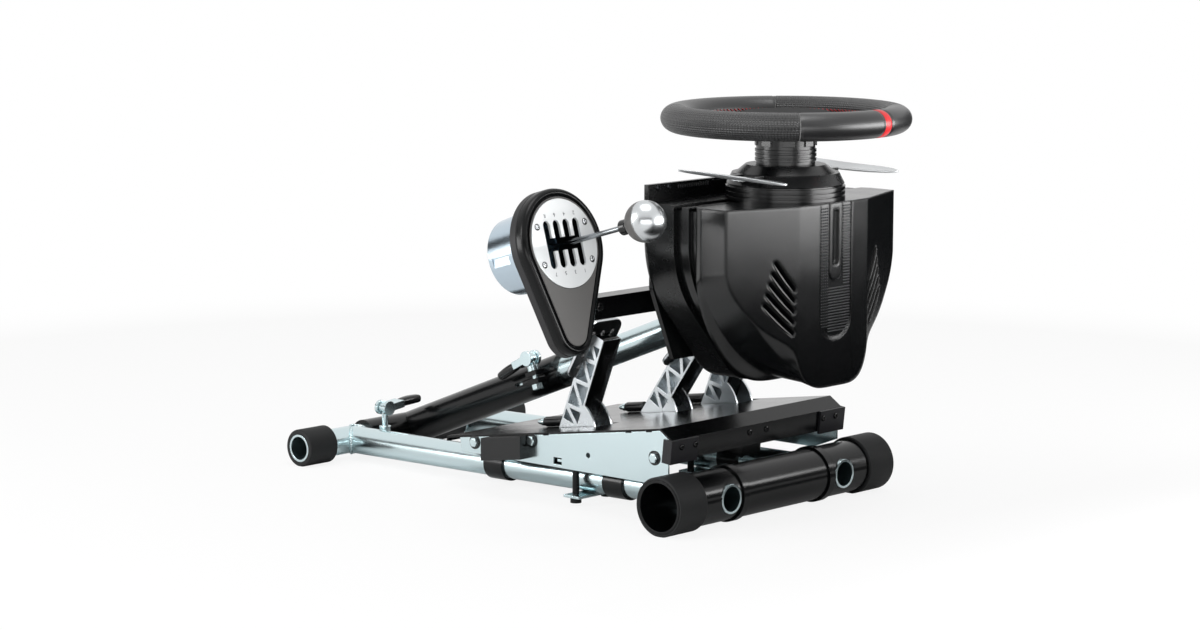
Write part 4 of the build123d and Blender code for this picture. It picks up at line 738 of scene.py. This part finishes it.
@dataclass
class PedalTray:
    """Folded tray with side plates, blocks, corner angles and their fasteners."""

    right_x: float = 143.0
    left_x: float = -157.0
    bolts: tuple[Pair, ...] = ((-35.0, 57.7), (58.4, 71.3), (248.6, 75.9))
    notches: tuple[Pair, ...] = ((80.7, 81.4), (209.0, 100.6), (240.0, 105.2))
    slope_deg: float = 8.5
    face_lean_deg: float = 6.3
    face_y: float = 273.5
    face_z: float = 90.0
    face_xs: tuple[float, ...] = (8.5, -20.8)
    corner_y: float = 276.7
    corner_xs: tuple[float, ...] = (129.0, 106.0, -120.0, -143.0)

    def build(self) -> None:
        """Dress the tray and add its bolts, key slots and screws."""
        dress(POWDER, "tray_top", "tray_tongue")
        dress(SATIN_COAT, "tray_corners")
        dress(ZINC, "tray_sides")
        dress(SMOOTH_ABS, "tray_blocks")
        flanks = ((1, self.right_x), (-1, self.left_x))
        bolts = [place((x, y, z), (side, 0, 0), (0, 1, 0)) for side, x in flanks for y, z in self.bolts]
        add_piece("tray_bolts", hex_bolt(6.0, 4.2).stamped(bolts), [SMOOTH_ABS, ZINC], "root")
        # The key slots are thin flat plates of painted shade on the side plates, not cut holes.
        key = block(rounded_box(9.0, 2.6, 0.5), 0.25, 0.1)
        slope = np.radians(self.slope_deg)
        slots = [place((x, y, z), (side, 0, 0), (0, np.cos(slope), np.sin(slope)))
                 for side, x in flanks for y, z in self.notches]
        add_piece("side_key_slots", key.stamped(slots), HOLE_SHADE, "root")
        lean = np.radians(self.face_lean_deg)
        spots = [(x, self.face_y, self.face_z) for x in self.face_xs]
        spots += [(x, self.corner_y, self.face_z) for x in self.corner_xs]
        screws = button_screw(3.6, 1.8).stamped(row_of(spots, (0, np.cos(lean), -np.sin(lean))))
        add_piece("face_screws", screws, SMOOTH_ABS, "root")


@dataclass(frozen=True)
class Pedal:
    """Place of one pedal: its middle, its arm's front foot, its lean from upright and its stop rod's start."""

    name: str
    x: float
    foot: Pair
    lean_deg: float
    rod: Pair

    def point(self, back: float, rise: float) -> Point:
        """Return the place behind the arm's front edge and up the arm."""
        y, z = self.way(back, rise)
        return (self.x, self.foot[0] + y, self.foot[1] + z)

    def way(self, back: float, rise: float) -> Pair:
        """Return a step behind the front edge and up the arm as y and z."""
        lean = np.radians(self.lean_deg)
        return (rise * np.sin(lean) - back * np.cos(lean), rise * np.cos(lean) + back * np.sin(lean))


@dataclass
class PedalSet:
    """Cast truss arms with dark front bars, pads with bare edges and stop rods."""

    pedals: tuple[Pedal, ...] = (
        Pedal("gas", 81.0, (87.5, 84.7), 20.8, (50.6, 85.24)),
        Pedal("brake", -54.0, (98.4, 86.3), 34.7, (56.4, 86.1)),
        Pedal("clutch", -129.0, (123.3, 90.0), 20.5, (86.5, 90.6)),
    )
    arm_width: float = 30.0
    arm_depth: float = 27.0
    arm_length: float = 112.0
    arm_tip: float = 16.4
    taper_start: float = 48.6
    pad_width: float = 56.0
    pad_length: float = 80.0
    pad_start: float = 2.0
    pad_round: float = 14.0
    bare_edges: float = 2.6
    hole_drop: float = 22.0
    rod_slope_deg: float = 8.5

    def build(self) -> None:
        """Dress the pedals and add their bars, bare edges and stop rods."""
        dress(ZINC, "pedal_brackets")
        for pedal in self.pedals:
            dress(CAST, f"{pedal.name}_arm")
            dress(PAD_COAT, f"{pedal.name}_pad")
            self._bar(pedal)
            self._pad_edge(pedal)
        self._rods()

    def _bar(self, pedal: Pedal) -> None:
        """Cover the arm's front and top with dark strips that leave its cast edges bare.

        Args:
            pedal: The pedal that gets them.
        """
        low, high = 6.0, self.arm_length - 0.8
        width = self.arm_width - self.bare_edges
        ahead, up = (0, *pedal.way(-1, 0)), (0, *pedal.way(0, 1))
        front = block(rounded_box(width, high - low, 0.8), 0.5, 0.2)
        front = front.placed(place(pedal.point(0, (low + high) / 2), ahead))
        top = block(rounded_box(width, self.arm_tip - 2.0, 0.8), 0.4, 0.2)
        top = top.placed(place(pedal.point(self.arm_tip / 2, self.arm_length), up))
        hole = turned([(3.0, 0.3), (3.0, 0.75), (2.3, 0.75), (2.1, 0.55)], 20)
        hole = hole.placed(place(pedal.point(0, self.arm_length - self.hole_drop), ahead))
        shape = Shape.joined([Shape.joined([front, top]), hole])
        add_piece(f"{pedal.name}_bar", shape, [POWDER, DARK_METAL], pedal.name)

    def _pad_edge(self, pedal: Pedal) -> None:
        """Run a bare sheared edge round the pad: a flat band on the outline of a rounded rectangle.

        Args:
            pedal: The pedal that gets it.
        """
        run = np.hypot(self.arm_depth - self.arm_tip, self.arm_length - self.taper_start)
        along = np.array((self.arm_tip - self.arm_depth, self.arm_length - self.taper_start)) / run
        middle = (self.arm_depth, self.taper_start) + along * (self.pad_start + self.pad_length / 2)
        plane = place(pedal.point(*middle), (0, *pedal.way(along[1], -along[0])))
        rings = []
        for grow, depth in ((-0.1, 0.3), (0.3, 0.7), (0.3, 3.3), (-0.1, 3.7), (-2.0, 3.7), (-2.0, 0.3)):
            flat = rounded_box(self.pad_width + 2 * grow, self.pad_length + 2 * grow, self.pad_round + grow, 8)
            rings.append(level(flat, depth))
        band = grid(np.array(rings), wrap_rows=True).placed(plane)
        add_piece(f"{pedal.name}_pad_edge", band, BARE_EDGE, pedal.name)

    def _rods(self) -> None:
        """Turn the stop rods behind the feet: a black sleeve with a rounded end and a zinc screw tip."""
        slope = np.radians(self.rod_slope_deg)
        sleeve = turned([(4.6, 0.0), (5.9, 1.0), (5.9, 27.5), (5.0, 29.6), (3.4, 30.0)], 28)
        tip = turned([(3.0, 29.5), (3.0, 31.0), (4.6, 31.0), (4.6, 34.5), (3.0, 34.8), (3.0, 39.5),
                      (1.6, 41.8)], 20)
        spots = row_of([(pedal.x, *pedal.rod) for pedal in self.pedals], (0, -np.cos(slope), -np.sin(slope)))
        rods = Shape.joined([sleeve, tip]).stamped(spots)
        add_piece("stop_rods", rods, [SMOOTH_ABS, ZINC], "root", ["pedal_buffers"])


@dataclass(frozen=True)
class ClampLever:
    """Place of one clamp lever: pin centre, the way its grip runs, the way up and the grip's tilt."""

    name: str
    pin: Point
    along: Point
    up: Point
    tilt_deg: float


@dataclass
class FoldingPost:
    """Clamp sleeve, black outer tube, bright inner tube and two clamp levers."""

    levers: tuple[ClampLever, ...] = (
        ClampLever("lower", (70.0, -266.8, 61.5), (-1, 0, 0), (0, 0, 1), 7.0),
        ClampLever("upper", (28.7, -54.525, 142.212), (0, -0.9317, -0.3633), (0, -0.3633, 0.9317),
                   -6.0),
    )
    neck: float = 25.0
    grip_length: float = 34.0
    grip_bow: float = 2.5
    arm_bolt: Point = (173.4, 193.0, 243.2)

    def build(self) -> None:
        """Dress the post and shape its grips and the arm's bolt."""
        dress(ZINC, "clamp_studs", "lower_lever", "upper_lever", "post_inner_tube")
        dress(POWDER, "post_sleeve", "post_outer_tube", "wheel_plate", "plate_gussets", "shifter_arm",
              "shifter_bracket")
        dress(SMOOTH_ABS, "post_bush")
        for lever in self.levers:
            self._grip(lever)
        bolt = button_screw(5.0, 2.2).placed(place(self.arm_bolt, (0, 1, 0)))
        add_piece("arm_bolt", bolt, SMOOTH_ABS, "head")

    def _grip(self, lever: ClampLever) -> None:
        """Shape a grip: a rounded section that swells in the middle, on a path that bows by its run squared.

        Args:
            lever: The lever that gets it.
        """
        along, up = np.array(lever.along, float), np.array(lever.up, float)
        tilt = np.radians(lever.tilt_deg)
        run = along * np.cos(tilt) + up * np.sin(tilt)
        lift = up * np.cos(tilt) - along * np.sin(tilt)
        share = np.concatenate([[0.0, 0.02], np.linspace(0.06, 0.9, 14), [0.95, 0.98, 1.0]])
        start = np.array(lever.pin) + run * (self.neck + 0.15)
        path = start + np.outer(share * self.grip_length, run) - np.outer(self.grip_bow * share**2, lift)
        nose = np.sqrt(np.clip(1 - ((share - 0.9) / 0.115) ** 2, 0.2, 1))
        swell = (0.86 + 0.14 * np.sin(np.pi * share**0.8)) * np.where(share > 0.9, nose, 1.0)
        section = rounded_box(13.0, 11.0, 4.4, 6)[None] * swell[:, None, None]
        add_piece(f"{lever.name}_handle", swept(path, section, lift), SMOOTH_ABS, f"{lever.name}_lever",
                  [f"{lever.name}_grip"])


@dataclass
class WheelBase:
    """Housing of the wheel base with its screws, vent and patterned centre strip."""

    front_y: float = 388.5
    lip_y: float = 236.0
    screw_xs: tuple[float, ...] = (125.0, 107.0)
    screw_z: float = 376.0
    vent_xs: Pair = (41.0, 91.0)
    vent_z: float = 374.8
    vent_bars: int = 14
    strip_half: float = 26.5
    strip_top: float = 358.0
    strip_end: float = 212.0
    strip_depth: float = 1.25
    bar_half: float = 12.5
    bar_end: float = 274.0
    dot_pitch: float = 3.2
    louvres: int = 5
    louvre_first: tuple[Pair, ...] = ((89.0, 302.0), (64.0, 268.0))
    louvre_last: tuple[Pair, ...] = ((102.0, 256.0), (65.0, 220.0))
    crease_x: float = 60.0
    crease_y: float = 385.5
    wing_fall: float = 0.36

    def build(self) -> None:
        """Dress the housing and add its small relief."""
        dress(HOUSING, "base_shell")
        dress(HOOD, "base_hood")
        dress(SMOOTH_ABS, "base_band", "hub_collar")
        self._screws()
        self._strip()
        self._louvre_lips()

    def _louvre_lips(self) -> None:
        """Round the lower edge of each louvre with a lip that lies on the wing.

        A lip's middle line runs beside its slot, bowed by 1.6 sin(pi s), and y follows the wing's fall with x.
        """
        share = np.linspace(0, 1, self.louvres)[:, None]
        run = np.linspace(0.04, 0.96, 15)
        section = rounded_box(2.4, 2.2, 1.0, 5)[None] * (np.sin(np.pi * run) ** 0.35)[:, None, None]
        start, end = (np.array(first) + share * (np.array(last) - first)
                      for first, last in zip(self.louvre_first, self.louvre_last))
        shapes = []
        for low, high in zip(end, start):
            across = unit((low[1] - high[1], high[0] - low[0]))
            line = low + run[:, None] * (high - low) - across * (2.9 + 1.6 * np.sin(np.pi * run))[:, None]
            y = self.crease_y - self.wing_fall * (line[:, 0] - self.crease_x)
            for sign in (1, -1):
                path = np.stack([sign * line[:, 0], y, line[:, 1]], 1)
                shapes.append(swept(path, section, (0, 1, 0)))
        add_piece("louvre_lips", Shape.joined(shapes), SMOOTH_ABS, "head")

    def _screws(self) -> None:
        """Set the two screws and the vent of the lip, mirrored to the other end."""
        spots = [(sign * x, self.lip_y, self.screw_z) for sign in (1, -1) for x in self.screw_xs]
        screws = button_screw(3.4, 1.6).stamped(row_of(spots, (0, 1, 0)))
        add_piece("lip_screws", screws, DARK_METAL, "head")
        bar = block(rounded_box(2.2, 4.0, 0.5), 0.8, 0.3)
        x = np.linspace(*self.vent_xs, self.vent_bars)
        bars = row_of([(value, self.lip_y, self.vent_z) for value in (*x, *-x)], (0, 1, 0))
        add_piece("lip_vent", bar.stamped(bars), STRIP, "head")

    def _strip(self) -> None:
        """Cover the centre strip: dots on its near side, ribs on the other side and ribs below the bar.

        Dots and ribs stand in rows one pitch apart, which keep clear of the bar and of the rounded end.
        """
        floor_y = self.front_y - self.strip_depth
        dot = turned([(1.05, 0.0), (0.9, 0.5), (0.5, 0.8)], 8)
        x, z = np.meshgrid(np.arange(self.bar_half + 1.6, self.strip_half - 1.0, self.dot_pitch),
                           np.arange(self.strip_end + 12, self.strip_top, self.dot_pitch))
        dots = row_of([(a, floor_y, b) for a, b in zip(x.ravel(), z.ravel())], (0, 1, 0))
        add_piece("strip_dots", dot.stamped(dots), STRIP, "head")
        wide, narrow = self.strip_half + self.bar_half, self.strip_half - self.bar_half
        ribs = []
        for width, middle, low, high in ((narrow - 1.6, -wide / 2, self.bar_end - 4, self.strip_top),
                                         (wide, -narrow / 2, self.strip_end + 6, self.bar_end - 6)):
            rib = block(rounded_box(width, 1.5, 0.4), 0.7, 0.3)
            spots = [(middle, floor_y, value) for value in np.arange(low, high, self.dot_pitch)]
            ribs.append(rib.stamped(row_of(spots, (0, 1, 0))))
        add_piece("strip_ribs", Shape.joined(ribs), STRIP, "head")


@dataclass
class SteeringWheel:
    """Leather rim with seams, stitching and centre band, on a ribbed stem, with two paddles."""

    centre: Point = (0.0, 315.0, 450.0)
    radius: float = 122.5
    half_width: float = 17.5
    half_depth: float = 15.5
    seams_deg: tuple[float, ...] = (46.0, 134.0, 226.0, 314.0)
    band_deg: float = 93.0
    band_half_deg: float = 2.6
    seam_depth: float = 0.9
    seam_turn: float = 0.010
    stitch_pitch: float = 5.0
    paddle_z: float = 387.0
    paddle_x: float = 90.0
    paddle_ends: Pair = (243.0, 397.0)
    paddle_half: float = 15.0

    def build(self) -> None:
        """Make the rim, its seams and stitches and the paddles."""
        dress(HOUSING, "wheel_hub")
        dress(BLACK_AND_SHADE, "wheel_boss")
        dress(DARK_METAL, "wheel_spokes")
        self._rim()
        self._seams()
        self._stitches()
        for side, sign in (("left", -1), ("right", 1)):
            self._paddle(side, sign)

    def _section(self, phi: Array, theta: Array, swell: Array) -> Array:
        """Points of the rim: a circle of radius R + (a + s) cos t, at height (b + s) sin t.

        Args:
            phi: Angles round the wheel from +X to +Y.
            theta: Angles round the section from outside to top.
            swell: How far the skin stands out of the plain section.

        Returns:
            Array of points.
        """
        reach = self.radius + (self.half_width + swell) * np.cos(theta)
        rise = (self.half_depth + swell) * np.sin(theta)
        return np.stack([reach * np.cos(phi), reach * np.sin(phi), rise + 0 * phi], -1) + self.centre

    def _rim(self) -> None:
        """Wrap the rim in leather: seams are narrow valleys, exp(-(d / w)^2) deep, and the band's edges too."""
        rows, cols = 480, 56
        phi = circle(rows)
        edges = (self.band_deg - self.band_half_deg, self.band_deg + self.band_half_deg)
        lines = np.radians([*self.seams_deg, *edges])
        gap = np.abs(np.angle(np.exp(1j * (phi[:, None] - lines)))).min(1)
        valley = -self.seam_depth * np.exp(-((gap / self.seam_turn) ** 2))
        points = self._section(phi[:, None], circle(cols)[None, :], valley[:, None])
        extent = (2 * np.pi * self.radius * MM, 2 * np.pi * self.half_width * MM)
        middle = np.degrees(np.repeat(phi + np.pi / rows, cols))
        smooth = (middle % 180 > self.seams_deg[0]) & (middle % 180 < self.seams_deg[1])
        kinds = np.where(np.abs(middle - self.band_deg) < self.band_half_deg, 2, np.where(smooth, 1, 0))
        rim = replace(grid(points, wrap_rows=True, extent=extent), kinds=kinds)
        add_piece("leather_rim", rim, [PUNCHED, LEATHER, RED_LEATHER], "wheel", ["wheel_rim"])

    def _seams(self) -> None:
        """Lay a thin piping ring round the section at each seam, sunk a little below the leather; its light grey
        paints the highlight along the seam.
        """
        theta, turn = circle(72)[:, None], circle(8)
        thread, sunk = 0.5, 0.55
        rings = []
        for degree in self.seams_deg:
            phi = np.radians(degree) + thread / self.radius * np.cos(turn) + 0 * theta
            swell = thread * np.sin(turn) - sunk
            rings.append(grid(self._section(phi, theta + 0 * turn, swell), wrap_rows=True))
        add_piece("seam_piping", Shape.joined(rings), GREY_SEAM_HIGHLIGHT, "wheel")

    def _stitches(self) -> None:
        """Sew slanted red stitches along the inside of the rim: one small bar per pitch of the inner circle."""
        inner = self.radius - self.half_width
        count = int(2 * np.pi * inner / self.stitch_pitch)
        phi = circle(count)
        bar = swept(np.array([(-2.3, 0, 0), (-1.6, 0, 0.5), (0, 0, 0.75), (1.6, 0, 0.5), (2.3, 0, 0)], float),
                    rounded_box(1.0, 0.9, 0.4, 3), (0, 0, 1))
        out = np.stack([-np.cos(phi), -np.sin(phi), 0 * phi], 1)
        slant, above = 0.7, 1.5
        along = np.stack([-np.sin(phi), np.cos(phi), np.full_like(phi, slant)], 1)
        along = along / np.linalg.norm(along, axis=1, keepdims=True)
        places = np.tile(np.eye(4), (count, 1, 1))
        places[:, :3, 0], places[:, :3, 2], places[:, :3, 1] = along, out, np.cross(out, along)
        places[:, :3, 3] = np.array(self.centre) - out * inner + (0, 0, above)
        add_piece("rim_stitches", bar.stamped(places), RED_THREAD, "wheel")

    def _paddle(self, side: str, sign: int) -> None:
        """Shape one bright blade: a thin section carried along the wheel's side, on a tab to its hinge.

        With t from -1 at the rear end to 1 at the front end, half the width goes with (1 - |t|^3)^0.5, and the
        middle line bows outwards by 9 t^2 and stands 2.5 - 2.6 t + 1.6 t^2 above the hinge. The section is cupped
        by 3 u^2 across its width and tipped up on the outside.

        Args:
            side: Which paddle.
            sign: Its direction along X.
        """
        t = np.sin(np.linspace(-1, 1, 41) * np.pi / 2) * 0.9995
        low, high = self.paddle_ends
        x = sign * (self.paddle_x + 9 * t**2)
        rise = self.paddle_z + 2.5 - 2.6 * t + 1.6 * t**2
        path = np.stack([x, (low + high) / 2 + t * (high - low) / 2, rise], 1)
        section = np.repeat(rounded_box(2.0, 2.4, 1.0)[None], len(t), 0)
        share = np.sqrt(1 - np.abs(t) ** 3)[:, None]
        section[..., 1] += share * (3.0 * section[..., 0] ** 2 - 1.0)
        section[..., 0] *= self.paddle_half * share
        blade = swept(path, section, (-0.13 * sign, 0, 0.99))
        tab = block(rounded_box(22.0, 20.0, 3.0), 3.2, 0.6)
        tab = tab.placed(place((sign * 72.5, self.centre[1], self.paddle_z - 1.4), (0, 0, 1)))
        add_piece(f"paddle_blade_{side}", Shape.joined([blade, tab]), PADDLE, f"paddle_{side}",
                  [f"paddle_{side}"])


@dataclass
class GearShifter:
    """Teardrop body with a slotted gate, bright rear case, rod and ball knob."""

    centre: Point = (235.0, 198.4, 320.81)
    lift_deg: float = 16.0
    head_r: float = 62.0
    foot: Pair = (-9.8, -96.0)
    foot_r: float = 27.2
    gate_r: float = 49.8
    thick: float = 22.5
    mouth_r: float = 43.0
    screw_at: Pair = (37.5, 21.0)
    mark_size: float = 6.0
    mark_y: float = 32.5
    pitch: float = 15.2
    lever_x: float = 7.6
    knob_r: float = 22.8
    knob_reach: float = 116.0
    collar_length: float = 12.0

    def build(self) -> None:
        """Make the body, the gate's screws and marks and the knob."""
        dress(BRUSHED, "shifter_gate")
        dress(MACHINED, "shifter_housing")
        # The gimbal inside the case gets the dark finish as painted shade.
        dress(BLACK_AND_SHADE, "gear_gimbal")
        dress(ROD_STEEL, "gear_lever")
        self._body()
        self._screws()
        self._marks()
        self._knob()
        # An added dark liner inside the case behind the gate: painted shade over the case's bright inside.
        liner = turned([(42.4, -3.4), (41.4, -3.4), (39.6, -49.0), (40.6, -49.0)], 72, closed=True)
        add_piece("gate_liner", liner.placed(self.frame_matrix()), BLACK_AND_SHADE, "head")

    def frame_matrix(self) -> Array:
        """Return the matrix of the gate's plane: local x to the driver's left, local z out of the gate."""
        lift = np.radians(self.lift_deg)
        return place(self.centre, (0, np.cos(lift), np.sin(lift)), (-1, 0, 0))

    def _teardrop(self, angle: Array, inset: float) -> Array:
        """Outline of the hull of two circles: for each direction the circle that reaches further gives the point.

        Args:
            angle: Directions in radians.
            inset: How far the outline is drawn in.

        Returns:
            Points, n by 2.
        """
        way, foot = ring(angle), np.array(self.foot)
        lower = way @ foot + self.foot_r > self.head_r
        centre = np.where(lower[:, None], foot, 0.0)
        radius = np.where(lower, self.foot_r, self.head_r)[:, None] - inset
        return centre + radius * way

    def _body(self) -> None:
        """Build the body as rings of one angle: teardrop rings with an inset and a depth, then round rings inside.

        The rings run from the back opening over the side, the rounded bezel, a groove and the inset panel into
        the gate's seat.
        """
        angle = circle(240)
        seat = self.gate_r + 0.4
        drops = ((0.6, -self.thick), (0.0, -self.thick + 0.6), (0.0, -13.2), (0.9, -12.6), (0.9, -11.8),
                 (0.0, -11.2), (0.0, -5.0), (0.7, -2.6), (2.2, -0.8), (4.4, 0.0), (6.6, -0.3), (8.0, -1.6),
                 (8.6, -3.0), (9.4, -3.0), (9.8, -0.8), (10.6, 0.0))
        rounds = ((self.gate_r + 1.2, 0.0), (seat, -0.8), (seat, -3.2), (self.mouth_r, -3.2),
                  (self.mouth_r, -self.thick))
        rings = [level(self._teardrop(angle, inset), depth) for inset, depth in drops]
        rings += [level(radius * ring(angle), depth) for radius, depth in rounds]
        row = np.repeat(np.arange(len(rings)), len(angle))
        side_rows, panel_start, panel_end = 3, 14, 17
        kinds = np.where(row < side_rows, 2, np.where((row >= panel_start) & (row < panel_end), 1, 0))
        shell = replace(grid(np.array(rings), wrap_rows=True), kinds=kinds)
        add_piece("shifter_shell", shell.placed(self.frame_matrix()), [SHELL, GREY_PAINT_AND_KNOB_SHADE, SIDE_PAINT], "head",
                  ["shifter_body", "shifter_panel"])

    def _screws(self) -> None:
        """Set four bright button screws into the gate, each on a flat disc of painted shade round its head."""
        x, y = self.screw_at
        spots = row_of([(-x, y, 0), (x, y, 0), (-x, -y, 0), (x, -y, 0)], (0, 0, 1))
        screw = Shape.joined([turned([(3.8, 0.0), (3.8, 0.25)], 24), button_screw(2.9, 1.2)])
        screws = screw.stamped(self.frame_matrix() @ spots)
        add_piece("gate_screws", screws, [HOLE_SHADE, KNOB_STEEL], "head")

    def _marks(self) -> None:
        """Print plain gear marks beyond the ends of the slots, read from the driver's seat."""
        marks = [(text, column - 1.5, row) for row, line in ((1, "R642"), (-1, "7531"))
                 for column, text in enumerate(line)]
        plane = self.frame_matrix()
        shapes = []
        for text, column, row in marks:
            curve = bpy.data.curves.new("mark", "FONT")
            curve.body = text
            curve.size = self.mark_size
            curve.extrude = 0.1
            curve.align_x = curve.align_y = "CENTER"
            holder = bpy.data.objects.new("mark", curve)
            mesh = bpy.data.meshes.new_from_object(holder)
            mesh.calc_loop_triangles()
            points = np.array([vertex.co for vertex in mesh.vertices], float)
            tris = np.array([tri.vertices for tri in mesh.loop_triangles], int)
            spot = place((column * self.pitch, row * self.mark_y, 0.05), (0, 0, 1), (-1, 0, 0))
            shapes.append(Shape(points, np.zeros((0, 4), int), tris).placed(plane @ spot))
            bpy.data.objects.remove(holder)
            bpy.data.curves.remove(curve)
            bpy.data.meshes.remove(mesh)
        add_piece("gate_marks", Shape.joined(shapes), INK, "head")

    def _knob(self) -> None:
        """Turn the knob: a black collar, the half of the ball towards it in grey as painted shade, and the bright
        steel front of the ball.
        """
        axis = self.frame_matrix() @ place((self.lever_x, 0, 0), (0, 0, 1))
        start = self.knob_reach - self.knob_r - self.collar_length
        steps = ((7.0, 0), (8.5, 1), (8.5, 9), (7.6, 10), (7.6, 14))
        collar = turned([(radius, start + step) for radius, step in steps], 32)
        rise = np.linspace(0.16, 1.0, 18) * np.pi
        edge = 0.52 * np.pi
        front, back = rise[rise > edge * 0.9], np.linspace(0.13 * np.pi, edge, 14)
        # The half of the ball towards the collar takes the grey finish, painted shade on the steel.
        ball, painted_shade_half = ([(self.knob_r * np.sin(a), self.knob_reach - self.knob_r * np.cos(a)) for a in turn]
                     for turn in (front, back))
        ball[-1] = (0.4, ball[-1][1])
        painted_shade_half.append((self.knob_r - 1.0, painted_shade_half[-1][1] + 0.3))
        shape = Shape.joined([turned(ball, 64), turned(painted_shade_half, 64), collar]).placed(axis)
        add_piece("ball_knob", shape, [KNOB_STEEL, GREY_PAINT_AND_KNOB_SHADE, SMOOTH_ABS], "gear_lever",
                  ["gear_knob"])


def main() -> None:
    logging.basicConfig(level=logging.INFO, format="%(message)s")
    Studio().build()
    for part in (BaseFrame, PedalTray, PedalSet, FoldingPost, WheelBase, SteeringWheel, GearShifter):
        LOG.info("building %s", part.__name__)
        part().build()


if __name__ == "__main__":
    main()
